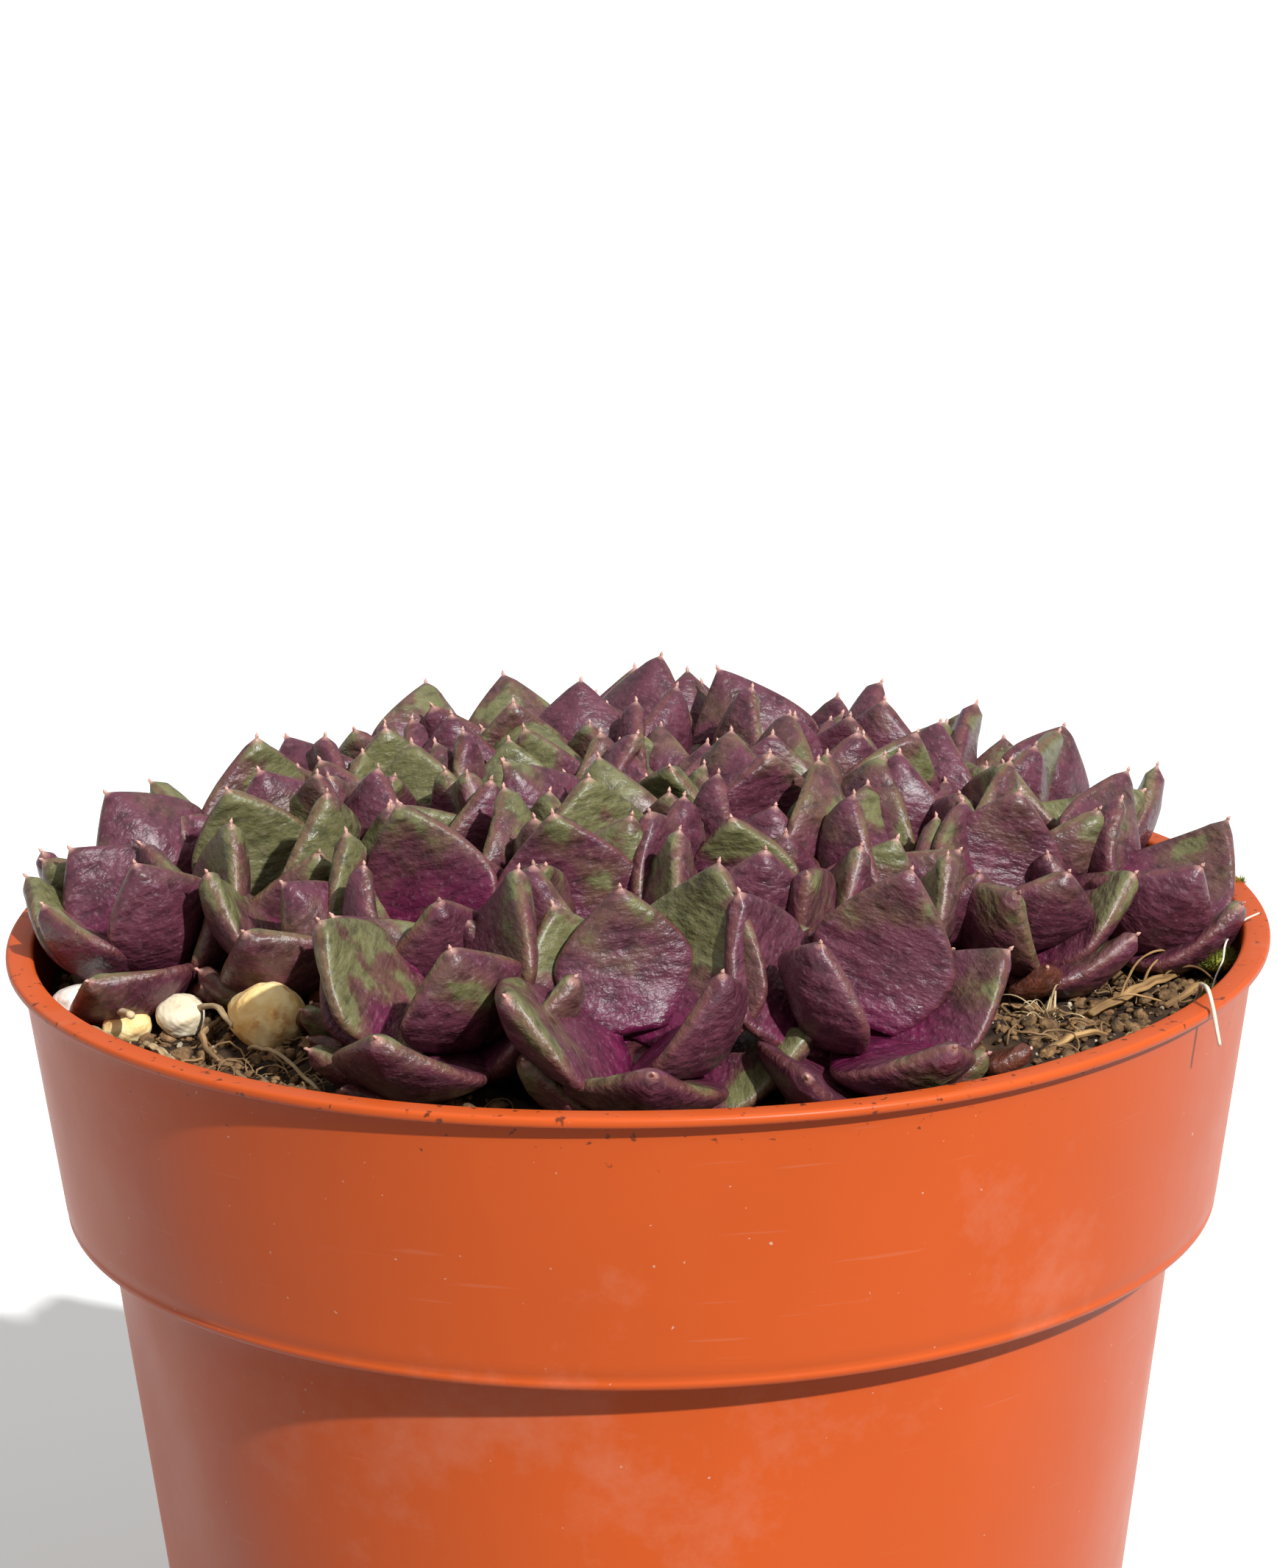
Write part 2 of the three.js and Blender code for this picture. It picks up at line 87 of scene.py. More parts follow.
# (x, y, leaf length, turn, number of leaves, greenness), front row first
ROSETTES = (
    (0, -35, 14, 220, 8, 0.3),
    (17, -32, 13.5, 330, 8, 0.15),
    (-15, -30, 13.5, 200, 7, 0.4),
    (-26, -10, 12.5, 200, 7, 0.6),
    (-17, -16, 13.5, 90, 7, 0.3),
    (-4, -19, 13.5, 50, 7, 0.3),
    (18, -17, 12.5, 190, 7, 0.45),
    (8, -13, 13.5, 320, 7, 0.2),
    (-40, -5, 12.5, 340, 8, 0.3),
    (-30, 1, 13.5, 0, 7, 0.55),
    (-13, -4, 13, 130, 7, 0.6),
    (-2, -7, 13.5, 280, 7, 0.35),
    (11, -2, 13.5, 140, 7, 0.3),
    (21, -5, 12.5, 150, 7, 0.2),
    (30, -6, 12.5, 50, 8, 0.35),
    (41, 2, 12.5, 80, 7, 0.1),
    (-40, 10, 13, 260, 7, 0.4),
    (-29, 11, 13, 90, 6, 0.5),
    (-19, 6, 13.5, 40, 7, 0.45),
    (0, 4, 12.5, 80, 7, 0.8),
    (11, 9, 13, 30, 6, 0.5),
    (22, 9, 13, 300, 6, 0.6),
    (32, 8, 13, 20, 6, 0.5),
    (-32, 18, 12.5, 330, 7, 0.3),
    (-20, 16, 13, 180, 6, 0.7),
    (-9, 11, 13.5, 140, 7, 0.5),
    (1, 14, 12.5, 120, 7, 0.4),
    (15, 20, 13, 240, 6, 0.3),
    (26, 22, 12.5, 280, 7, 0.3),
    (36, 19, 12.5, 190, 7, 0.7),
    (-25, 26, 13, 300, 7, 0.3),
    (-15, 28, 13.5, 220, 7, 0.5),
    (-8, 21, 13, 60, 6, 0.6),
    (5, 24, 12.5, 120, 7, 0.4),
    (-4, 31, 13.5, 280, 7, 0.2),
    (12, 31, 13, 10, 6, 0.3),
    (22, 34, 12.5, 220, 7, 0.2),
    (32, 29, 12.5, 120, 6, 0.4),
    (-21, 36, 13, 330, 7, 0.4),
    (-11, 40, 13.5, 320, 7, 0.3),
    (1, 42, 13.5, 270, 7, 0.3),
    (13, 40, 13.5, 90, 7, 0.2),
)

# node, centre, radius, squash, colour name
STONES = (
    ("stone_white", (-45.6, -10), 1.9, 0.9, "white"),
    ("stone_yellow_small", (-41.5, -14), 1.5, 0.8, "yellow"),
    ("stone_cream", (-37, -14), 1.5, 0.85, "cream"),
    ("stone_yellow", (-29.5, -19), 2.6, 0.85, "yellow"),
)

# node, diameter, points (x, y, height over the soil), colour name
STRANDS = (
    ("straw_thick", 1.5, ((-44.4, -14, 1), (-42.6, -18.5, 1.3), (-39.5, -25, 0.9)), "straw"),
    ("straw_thin", 0.8, ((-39.6, -18, 0.5), (-37.8, -22, 1), (-36, -26, 0.6)), "straw"),
    ("twig_left", 0.8, ((-34, -14.5, 0.5), (-35, -19, 0.9), (-33.4, -24, 0.6)), "twig"),
    ("twig_front", 0.8, ((-32, -26, 0.5), (-30.5, -30, 0.9), (-28, -34, 0.6)), "twig"),
    ("root_right", 1, ((36.5, -15.5, 0.6), (41, -10, 1.3), (45, -3.5, 1.2), (47.4, 2, 0.8)), "root"),
    ("root_fork", 0.8, ((43, -11.5, 0.5), (45.6, -9, 1.6), (47.6, -5.5, 0.7)), "root"),
    ("root_small", 0.8, ((32, -25, 0.5), (35, -21.5, 1), (37.5, -19.5, 0.5)), "root"),
)
HANGING_ROOT = (
    (44.4, -16, -4.2),
    (44.8, -20, -0.8),
    (44.6, -23.4, 0.8),
    (44.9, -26.4, 0.9),
    (45.5, -28.6, -2.6),
)

ROOT_BODY = "root"


# ---------------------------------------------------------------- sizes and colours a user can change


def linear(hex_colour):
    """An sRGB hex colour such as #c8623a as linear RGBA."""
    channels = [int(hex_colour[i : i + 2], 16) / 255 for i in (1, 3, 5)]
    return tuple(c / 12.92 if c <= 0.04045 else ((c + 0.055) / 1.055) ** 2.4 for c in channels) + (1,)


def colour(name, description, hex_colour):
    return FloatVectorProperty(
        name=name,
        description=description,
        subtype="COLOR",
        size=4,
        min=0,
        max=1,
        default=linear(hex_colour),
    )


def millimetres(name, description, default, low, high):
    return FloatProperty(
        name=name,
        description=description,
        default=default * MM,
        min=low * MM,
        max=high * MM,
        subtype="DISTANCE",
        unit="LENGTH",
        precision=5,
    )


class PotSettings(bpy.types.PropertyGroup):
    lip_thickness: millimetres("Lip thickness", "Height of the flat lip", 0.9, 0.5, 2)
    lip_overhang: millimetres("Lip overhang", "How far the lip stands past the collar", 1.2, 0, 3)
    wall: millimetres("Wall", "Thickness of the plastic", 1.1, 0.5, 3)
    collar_height: millimetres("Collar height", "From the lip's top to the shoulder", 23.2, 10, 40)
    shoulder_step: millimetres("Shoulder step", "How far the body stands in", 3.2, 1, 6)
    foot_width: millimetres("Foot width", "Width of the ring that the pot stands on", 6, 3, 12)
    foot_height: millimetres("Foot height", "Height of the recess in the base", 3, 1, 8)
    plastic: colour("Plastic", "The clean plastic's colour", "#c6531e")
    dust: colour("Dust", "Chalky smudges and specks", "#d9c4b4")
    # Partly painted shade: besides soil splashes, this colour darkens the pot towards the lip, where the
    # lip's shade falls
    dirt_and_lip_shade: colour("Dirt", "Soil left under the lip", "#2a1a12")


class PlantSettings(bpy.types.PropertyGroup):
    leaf_width: FloatProperty(
        name="Leaf width",
        description="Width as a share of the leaf's length",
        default=0.94,
        min=0.4,
        max=1,
        subtype="FACTOR",
    )
    leaf_thickness: FloatProperty(
        name="Leaf thickness",
        description="Thickness as a share of the leaf's length",
        default=0.18,
        min=0.1,
        max=0.4,
        subtype="FACTOR",
    )
    wrinkle: millimetres("Wrinkle depth", "Depth of the skin's larger wrinkles", 0.1, 0, 0.5)
    dusk: colour("Dusk", "Dull purple skin in the light", "#5c2e3d")
    # Partly painted light: besides the skin's own colour near the base, wine stands for light glowing through
    # the flesh in shade
    wine: colour("Wine", "Vivid purple skin near the leaf's base", "#5d1239")
    olive: colour("Olive", "Green-brown skin", "#645039")
    green: colour("Green", "The greenest skin", "#6c7247")
    rim: colour("Rim", "Red-brown edge of the leaf", "#6a3d36")
    point: colour("Point", "Pale horny tip", "#cf9f92")
    amber: colour("Amber", "Old and drying leaves", "#5e3120")


class GroundSettings(bpy.types.PropertyGroup):
    crumbs: IntProperty(
        name="Crumbs", description="Number of soil crumbs", default=3400, min=0, max=8000
    )
    fibres: IntProperty(
        name="Fibres", description="Number of fine fibres in the soil", default=420, min=0, max=2000
    )
    peat: colour("Peat", "Dark, damp potting mix", "#4b3625")
    bark: colour("Bark", "Dry bark and coir", "#a07a50")
    grit: colour("Grit", "Pale grains", "#cdbfa6")
    moss: colour("Moss", "Yellow-green moss", "#7d8420")


class StageSettings(bpy.types.PropertyGroup):
    sun: FloatProperty(
        name="Key light", description="Strength of the key light", default=4.6, min=0, max=20
    )
    sky: FloatProperty(
        name="Fill light", description="Strength of the even fill", default=0.25, min=0, max=5
    )
    floor: colour("Floor", "Plain pale floor", "#f7f7f5")


# ---------------------------------------------------------------- small helpers


def ripple(points, wavelength, seed, waves=7):
    """Smooth, repeatable unevenness from -1 to 1: crossing waves in seeded directions."""
    draw = np.random.default_rng(seed)
    total = np.zeros(len(points))
    for _ in range(waves):
        way = draw.normal(size=3)
        way *= 2 * math.pi / (wavelength * np.linalg.norm(way)) * draw.uniform(0.7, 1.4)
        total += np.sin(points @ way + draw.uniform(0, 2 * math.pi))
    return total / waves * 1.6


def crumble(points, wavelength, seed):
    """Rounded lumps with creases between them, from 0 to about 1."""
    lumps = np.abs(ripple(points, wavelength, seed)) + 0.5 * np.abs(ripple(points, wavelength / 2, seed + 1))
    return 1 - lumps


def grid_faces(rings, sides, first=0):
    """Quads between closed rings of equal length."""
    i = np.arange(rings - 1)[:, None] * sides
    j = np.arange(sides)[None, :]
    k = (j + 1) % sides
    quads = np.stack([i + j, i + k, i + sides + k, i + sides + j], -1)
    return (quads.reshape(-1, 4) + first).tolist()


def tube(path, radii, sides, groove=0.0, flatten=1.0, seed=0):
    """A closed round strand along points, with lengthwise grooves and capped ends."""
    path = np.asarray(path, float)
    ahead = np.gradient(path, axis=0)
    ahead /= np.linalg.norm(ahead, axis=1)[:, None]
    side = np.cross(ahead, (0.12, 0.05, 1.0))
    side /= np.linalg.norm(side, axis=1)[:, None]
    over = np.cross(side, ahead)
    angle = np.arange(sides) * 2 * math.pi / sides
    shape = 1 + groove * np.sin(5 * angle + seed) + groove * np.sin(3 * angle + 2 * seed)
    radii = np.broadcast_to(radii, len(path))
    across = (np.cos(angle) * shape)[None, :, None] * side[:, None, :]
    upward = (np.sin(angle) * shape * flatten)[None, :, None] * over[:, None, :]
    points = path[:, None, :] + radii[:, None, None] * (across + upward)
    points = points.reshape(-1, 3)
    faces = [face[::-1] for face in grid_faces(len(path), sides)]
    start, end = len(points), len(points) + 1
    points = np.vstack([points, path[:1], path[-1:]])
    last = (len(path) - 1) * sides
    for i in range(sides):
        j = (i + 1) % sides
        faces.append((i, j, start))
        faces.append((last + j, last + i, end))
    return points, faces


def smooth_path(points, steps):
    """A Catmull-Rom curve through points."""
    points = np.asarray(points, float)
    padded = np.vstack([2 * points[0] - points[1], points, 2 * points[-1] - points[-2]])
    where = np.linspace(0, len(points) - 1.0001, steps)
    out = []
    for u in where:
        i = int(u)
        t = u - i
        a, b, c, d = padded[i : i + 4]
        out.append(
            0.5 * (2 * b + (c - a) * t + (2 * a - 5 * b + 4 * c - d) * t**2 + (3 * b - a - 3 * c + d) * t**3)
        )
    return np.array(out)


def lump(level):
    """Points and faces of a unit icosphere."""
    shape = bmesh.new()
    bmesh.ops.create_icosphere(shape, subdivisions=level, radius=1)
    points = np.array([v.co[:] for v in shape.verts])
    faces = [tuple(v.index for v in face.verts) for face in shape.faces]
    shape.free()
    return points, faces


def joined(parts):
    """Several (points, faces) shapes as one."""
    points, faces, first = [], [], 0
    for part_points, part_faces in parts:
        points.append(part_points)
        faces.extend(tuple(i + first for i in face) for face in part_faces)
        first += len(part_points)
    return np.vstack(points), faces


def add_piece(name, shape, material, nodes=(), values=None):
    """A smooth mesh piece in the frame's place, from millimetres, riding on the one body."""
    points, faces = shape
    mesh = bpy.data.meshes.new(name)
    mesh.from_pydata((np.asarray(points) * MM).tolist(), [], faces)
    mesh.update()
    mesh.shade_smooth()
    for key, numbers in (values or {}).items():
        numbers = np.asarray(numbers, np.float32)
        if numbers.ndim == 1:
            mesh.attributes.new(key, "FLOAT", "POINT").data.foreach_set("value", numbers)
        else:
            mesh.attributes.new(key, "FLOAT_VECTOR", "POINT").data.foreach_set("vector", numbers.ravel())
    mesh.materials.append(material)
    piece = bpy.data.objects.new(name, mesh)
    bpy.context.scene.collection.objects.link(piece)
    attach(piece, ROOT_BODY)
    if nodes:
        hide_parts(*nodes)
    return piece


def edge_share(x, y):
    return np.minimum(1, np.hypot(x, y) / PLANT_RADIUS)


def soil_height(x, y):
    share = np.minimum(1, np.hypot(x, y) / (PLANT_RADIUS + 1))
    return POT_HEIGHT - SOIL_DROP + SOIL_MOUND * (1 - share * share)


# ---------------------------------------------------------------- materials


def add_node(tree, kind, inputs=None, out=0, stops=(), **settings):
    """Adds a node with its settings, ramp stops and inputs, and returns one of its outputs."""
    made = tree.nodes.new(kind)
    for key, value in settings.items():
        setattr(made, key, value)
    for key, value in (inputs or {}).items():
        if isinstance(value, bpy.types.NodeSocket):
            tree.links.new(value, made.inputs[key])
        else:
            made.inputs[key].default_value = value
    for i, (position, shade) in enumerate(stops):
        ramp = made.color_ramp.elements
        stop = ramp[i] if i < len(ramp) else ramp.new(position)
        stop.position = position
        stop.color = shade if isinstance(shade, tuple) else (shade, shade, shade, 1)
    return made.outputs[out] if made.outputs else made


def per_mm(size):
    """Noise scale whose blobs measure about size millimetres, on coordinates in metres."""
    return 0.5 / (size * MM)


def new_material(name):
    made = bpy.data.materials.new(name)
    made.use_nodes = True
    made.node_tree.nodes.clear()
    return made, made.node_tree


RAMP = "ShaderNodeValToRGB"
NOISE = "ShaderNodeTexNoise"
MIX = "ShaderNodeMix"
MATH = "ShaderNodeMath"
BUMP = "ShaderNodeBump"
VALUES = "ShaderNodeAttribute"
SHADER = "ShaderNodeBsdfPrincipled"
OUTPUT = "ShaderNodeOutputMaterial"
COLOURS = {"data_type": "RGBA", "out": 2}
DARKEN = {"data_type": "RGBA", "out": 2, "blend_type": "MULTIPLY"}


def leaf_skin(settings, name="succulent_skin"):
    """Succulent leaf: a waxy, finely wrinkled skin over wet flesh, so satin lights on a deep colour."""
    made, tree = new_material(name)
    place = add_node(tree, VALUES, out="Vector", attribute_name="leaf_place")
    green, base, rim, point, amber = [
        add_node(tree, VALUES, out="Fac", attribute_name=f"leaf_{part}")
        for part in ("green", "base", "rim", "point", "amber")
    ]
    cloud = add_node(tree, NOISE, {"Vector": place, "Scale": per_mm(2.8), "Detail": 4.0})
    fine = {"Vector": place, "Scale": per_mm(1.1), "Detail": 5.0, "Roughness": 0.65}
    mottle = add_node(tree, NOISE, fine)
    speck = add_node(tree, NOISE, {"Vector": place, "Scale": per_mm(0.22), "Detail": 2.0})
    shade = add_node(tree, RAMP, {"Fac": mottle}, stops=((0.3, 0.6), (0.52, 1.0), (0.75, 1.3)))

    # Purple, brighter and redder towards the base: partly the skin's own colour there, partly painted glow of
    # light through the flesh where the base lies in shade
    base_tint_and_glow = add_node(tree, RAMP, {"Fac": base}, stops=((0.5, 0.0), (1.0, 1.0)))
    purple = add_node(tree, MIX, {0: base_tint_and_glow, 6: settings.dusk[:], 7: settings.wine[:]}, **COLOURS)
    purple = add_node(tree, MIX, {0: 1.0, 6: purple, 7: shade}, **DARKEN)

    # Green breaks through in clouds, olive first and then brighter
    clouds = add_node(tree, MATH, {0: cloud, 1: 1.1}, operation="MULTIPLY")
    amount = add_node(tree, MATH, {0: green, 1: clouds}, operation="ADD")
    patch = add_node(tree, RAMP, {"Fac": amount}, stops=((0.8, 0.0), (1.2, 0.88)))
    fresh = add_node(tree, RAMP, {"Fac": amount}, stops=((0.95, 0.0), (1.2, 0.8)))
    leafy = add_node(tree, MIX, {0: fresh, 6: settings.olive[:], 7: settings.green[:]}, **COLOURS)
    leafy = add_node(tree, MIX, {0: 0.8, 6: leafy, 7: shade}, **DARKEN)
    skin = add_node(tree, MIX, {0: patch, 6: purple, 7: leafy}, **COLOURS)

    # Red-brown rim, drying leaves and the horny point
    rimmed = add_node(tree, RAMP, {"Fac": rim}, stops=((0.8, 0.0), (0.98, 0.55)))
    skin = add_node(tree, MIX, {0: rimmed, 6: skin, 7: settings.rim[:]}, **COLOURS)
    dried = add_node(tree, RAMP, {"Fac": amber}, stops=((0.2, 0.0), (1.0, 0.92)))
    skin = add_node(tree, MIX, {0: dried, 6: skin, 7: settings.amber[:]}, **COLOURS)
    skin = add_node(tree, MIX, {0: point, 6: skin, 7: settings.point[:]}, **COLOURS)

    # Pale specks of wax, which also stand for a painted reflection, the grey that the sky lends the skin;
    # real ones are finer, so they are drawn as coarse as still shows
    wax_specks_and_sheen = add_node(tree, RAMP, {"Fac": speck}, stops=((0.58, 0.0), (0.74, 0.26)))
    skin = add_node(tree, MIX, {0: wax_specks_and_sheen, 6: skin, 7: linear("#9c8088")}, **COLOURS)

    rough = add_node(tree, RAMP, {"Fac": mottle}, stops=((0.3, 0.33), (0.7, 0.5)))
    drawn = add_node(tree, "ShaderNodeMapping", {"Vector": place, "Scale": (0.65, 1.3, 1.0)})
    wrinkle = add_node(tree, NOISE, {"Vector": drawn, "Scale": per_mm(0.5), "Detail": 4.0})
    # Painted shade: the skin is darkened in the valleys of the wrinkles, where the bump is low
    painted_wrinkle_shade = add_node(tree, RAMP, {"Fac": wrinkle}, stops=((0.36, 0.5), (0.48, 1.0)))
    skin = add_node(tree, MIX, {0: 0.7, 6: skin, 7: painted_wrinkle_shade}, **DARKEN)
    crease = add_node(tree, NOISE, {"Vector": drawn, "Scale": per_mm(1.3), "Detail": 2.0})
    relief = add_node(tree, BUMP, {"Height": crease, "Distance": 0.4 * MM, "Strength": 0.6})
    folds = {"Height": wrinkle, "Distance": 0.4 * MM, "Strength": 0.8, "Normal": relief}
    relief = add_node(tree, BUMP, folds)
    relief = add_node(tree, BUMP, {"Height": speck, "Distance": 0.12 * MM, "Strength": 0.6, "Normal": relief})
    surface = add_node(
        tree,
        SHADER,
        {
            "Base Color": skin,
            "Roughness": rough,
            "IOR": 1.42,
            "Coat Weight": 0.15,
            "Coat Roughness": 0.3,
            "Subsurface Weight": 0.1,
            "Subsurface Radius": (1.0, 0.3, 0.28),
            "Subsurface Scale": 0.001,
            "Normal": relief,
        },
    )
    add_node(tree, OUTPUT, {"Surface": surface})
    return made


def pot_plastic(settings):
    """Moulded polypropylene: satin with a faint orange peel, wiped dust, fine specks, and soil splashes that
    thicken towards the lip as dirt and painted shade.
    """
    made, tree = new_material("moulded_polypropylene")
    place = add_node(tree, "ShaderNodeTexCoord", out="Object")
    height = add_node(tree, "ShaderNodeSeparateXYZ", {"Vector": place}, out="Z")
    tone = add_node(tree, NOISE, {"Vector": place, "Scale": per_mm(14), "Detail": 3.0})
    shade = add_node(tree, RAMP, {"Fac": tone}, stops=((0.3, 0.93), (0.7, 1.05)))
    plastic = add_node(tree, MIX, {0: 1.0, 6: settings.plastic[:], 7: shade}, **DARKEN)

    # Dust wiped into faint clouds
    cloud = add_node(tree, NOISE, {"Vector": place, "Scale": per_mm(16), "Detail": 7.0, "Roughness": 0.72})
    wiped = add_node(tree, RAMP, {"Fac": cloud}, stops=((0.55, 0.0), (0.8, 0.2)))
    plastic = add_node(tree, MIX, {0: wiped, 6: plastic, 7: settings.dust[:]}, **COLOURS)

    # Hairline rubs that run round the pot
    drawn = add_node(tree, "ShaderNodeMapping", {"Vector": place, "Scale": (0.12, 0.12, 3.0)})
    hair = add_node(tree, NOISE, {"Vector": drawn, "Scale": per_mm(0.8), "Detail": 2.0})
    rubbed = add_node(tree, RAMP, {"Fac": hair}, stops=((0.7, 0.0), (0.76, 0.05)))
    plastic = add_node(tree, MIX, {0: rubbed, 6: plastic, 7: settings.dust[:]}, **COLOURS)

    # Dust specks, then soil splashes, which grow denser towards the lip: partly dirt, partly painted shade of
    # the lip
    grit = add_node(tree, NOISE, {"Vector": place, "Scale": per_mm(0.3), "Detail": 1.0})
    speck = add_node(tree, RAMP, {"Fac": grit}, stops=((0.79, 0.0), (0.83, 0.55)))
    plastic = add_node(tree, MIX, {0: speck, 6: plastic, 7: settings.dust[:]}, **COLOURS)
    splash = add_node(tree, NOISE, {"Vector": place, "Scale": per_mm(0.45), "Detail": 2.0})
    toward_lip_dirt_and_shade = add_node(
        tree,
        "ShaderNodeMapRange",
        {
            "Value": height,
            "From Min": (POT_HEIGHT - 8) * MM,
            "From Max": (POT_HEIGHT - 1) * MM,
            "To Min": 0.0,
            "To Max": 0.15,
        },
    )
    splash = add_node(tree, MATH, {0: splash, 1: toward_lip_dirt_and_shade}, operation="ADD")
    splash = add_node(tree, RAMP, {"Fac": splash}, stops=((0.8, 0.0), (0.86, 0.75)))
    plastic = add_node(tree, MIX, {0: splash, 6: plastic, 7: settings.dirt_and_lip_shade[:]}, **COLOURS)

    rough = add_node(tree, RAMP, {"Fac": cloud}, stops=((0.35, 0.34), (0.75, 0.5)))
    peel = add_node(tree, NOISE, {"Vector": place, "Scale": per_mm(1.4), "Detail": 2.0})
    relief = add_node(tree, BUMP, {"Height": peel, "Distance": 0.04 * MM, "Strength": 0.5})
    gloss = {"Roughness": rough, "IOR": 1.49, "Specular IOR Level": 0.25}
    surface = add_node(tree, SHADER, {"Base Color": plastic, "Normal": relief, **gloss})
    add_node(tree, OUTPUT, {"Surface": surface})
    return made


def earth(name, dark, light, size_mm, roughness=0.95):
    """Potting mix: dull, porous peat and bark, darker in its low places, partly damp pores and partly painted
    shade in the hollows, and paler where it has dried.
    """
    made, tree = new_material(name)
    place = add_node(tree, "ShaderNodeTexCoord", out="Object")
    lumpy = {"Vector": place, "Scale": per_mm(size_mm), "Detail": 6.0, "Roughness": 0.7}
    coarse = add_node(tree, NOISE, lumpy)
    fine = add_node(tree, NOISE, {"Vector": place, "Scale": per_mm(size_mm / 5), "Detail": 3.0})
    # Painted shade in part: the ramp follows the relief, so the hollows are drawn dark
    skin = add_node(tree, RAMP, {"Fac": coarse}, stops=((0.34, dark), (0.64, light)))
    shade = add_node(tree, RAMP, {"Fac": fine}, stops=((0.3, 0.5), (0.7, 1.3)))
    skin = add_node(tree, MIX, {0: 0.7, 6: skin, 7: shade}, **DARKEN)
    relief = add_node(tree, BUMP, {"Height": coarse, "Distance": 0.5 * MM, "Strength": 0.8})
    relief = add_node(tree, BUMP, {"Height": fine, "Distance": 0.15 * MM, "Strength": 0.7, "Normal": relief})
    surface = add_node(
        tree,
        SHADER,
        {"Base Color": skin, "Roughness": roughness, "IOR": 1.4, "Normal": relief},
    )
    add_node(tree, OUTPUT, {"Surface": surface})
    return made


def stone_skin(name, low, high, vein):
    """Weathered limestone or quartz chip: pale and a little waxy, with rusty stains in its pits."""
    made, tree = new_material(name)
    place = add_node(tree, "ShaderNodeTexCoord", out="Object")
    cloud = add_node(tree, NOISE, {"Vector": place, "Scale": per_mm(1.8), "Detail": 5.0, "Roughness": 0.6})
    pits = add_node(tree, NOISE, {"Vector": place, "Scale": per_mm(0.5), "Detail": 4.0})
    skin = add_node(tree, RAMP, {"Fac": cloud}, stops=((0.3, low), (0.62, high)))
    stain = add_node(tree, RAMP, {"Fac": pits}, stops=((0.58, 0.0), (0.72, 0.7)))
    skin = add_node(tree, MIX, {0: stain, 6: skin, 7: vein}, **COLOURS)
    relief = add_node(tree, BUMP, {"Height": pits, "Distance": 0.2 * MM, "Strength": 0.8})
    surface = add_node(
        tree,
        SHADER,
        {
            "Base Color": skin,
            "Roughness": 0.62,
            "IOR": 1.54,
            "Subsurface Weight": 0.15,
            "Subsurface Radius": (1.0, 0.8, 0.5),
            "Subsurface Scale": 0.0008,
            "Normal": relief,
        },
    )
    add_node(tree, OUTPUT, {"Surface": surface})
    return made


def dry_fibre(name, dark, light, roughness=0.7):
    """Dry straw or root: fibres that run lengthwise, so streaks in its tone and relief."""
    made, tree = new_material(name)
    place = add_node(tree, VALUES, out="Vector", attribute_name="strand_place")
    drawn = add_node(tree, "ShaderNodeMapping", {"Vector": place, "Scale": (1.0, 0.08, 1.0)})
    streak = add_node(tree, NOISE, {"Vector": drawn, "Scale": per_mm(0.35), "Detail": 4.0})
    blotch = add_node(tree, NOISE, {"Vector": place, "Scale": per_mm(1.6), "Detail": 3.0})
    skin = add_node(tree, RAMP, {"Fac": streak}, stops=((0.3, dark), (0.65, light)))
    shade = add_node(tree, RAMP, {"Fac": blotch}, stops=((0.3, 0.6), (0.7, 1.15)))
    skin = add_node(tree, MIX, {0: 0.8, 6: skin, 7: shade}, **DARKEN)
    relief = add_node(tree, BUMP, {"Height": streak, "Distance": 0.12 * MM, "Strength": 0.8})
    surface = add_node(
        tree,
        SHADER,
        {"Base Color": skin, "Roughness": roughness, "IOR": 1.45, "Normal": relief},
    )
    add_node(tree, OUTPUT, {"Surface": surface})
    return made


def moss_green(settings):
    """Moss: thin translucent leaflets, yellow at their tips and brown below."""
    made, tree = new_material("moss_leaflets")
    place = add_node(tree, "ShaderNodeTexCoord", out="Object")
    tone = add_node(tree, NOISE, {"Vector": place, "Scale": per_mm(1.1), "Detail": 4.0})
    shades = ((0.3, linear("#3c3a12")), (0.55, settings.moss[:]), (0.75, linear("#b0a83c")))
    skin = add_node(tree, RAMP, {"Fac": tone}, stops=shades)
    surface = add_node(
        tree,
        SHADER,
        {
            "Base Color": skin,
            "Roughness": 0.75,
            "Subsurface Weight": 0.2,
            "Subsurface Radius": (0.8, 1.0, 0.3),
            "Subsurface Scale": 0.0006,
        },
    )
    add_node(tree, OUTPUT, {"Surface": surface})
    return made


def plain_floor(settings):
    """Matt white card, so nothing shows in it."""
    made, tree = new_material("white_card")
    surface = add_node(tree, SHADER, {"Base Color": settings.floor[:], "Roughness": 0.9})
    add_node(tree, OUTPUT, {"Surface": surface})
    return made


# ---------------------------------------------------------------- pot


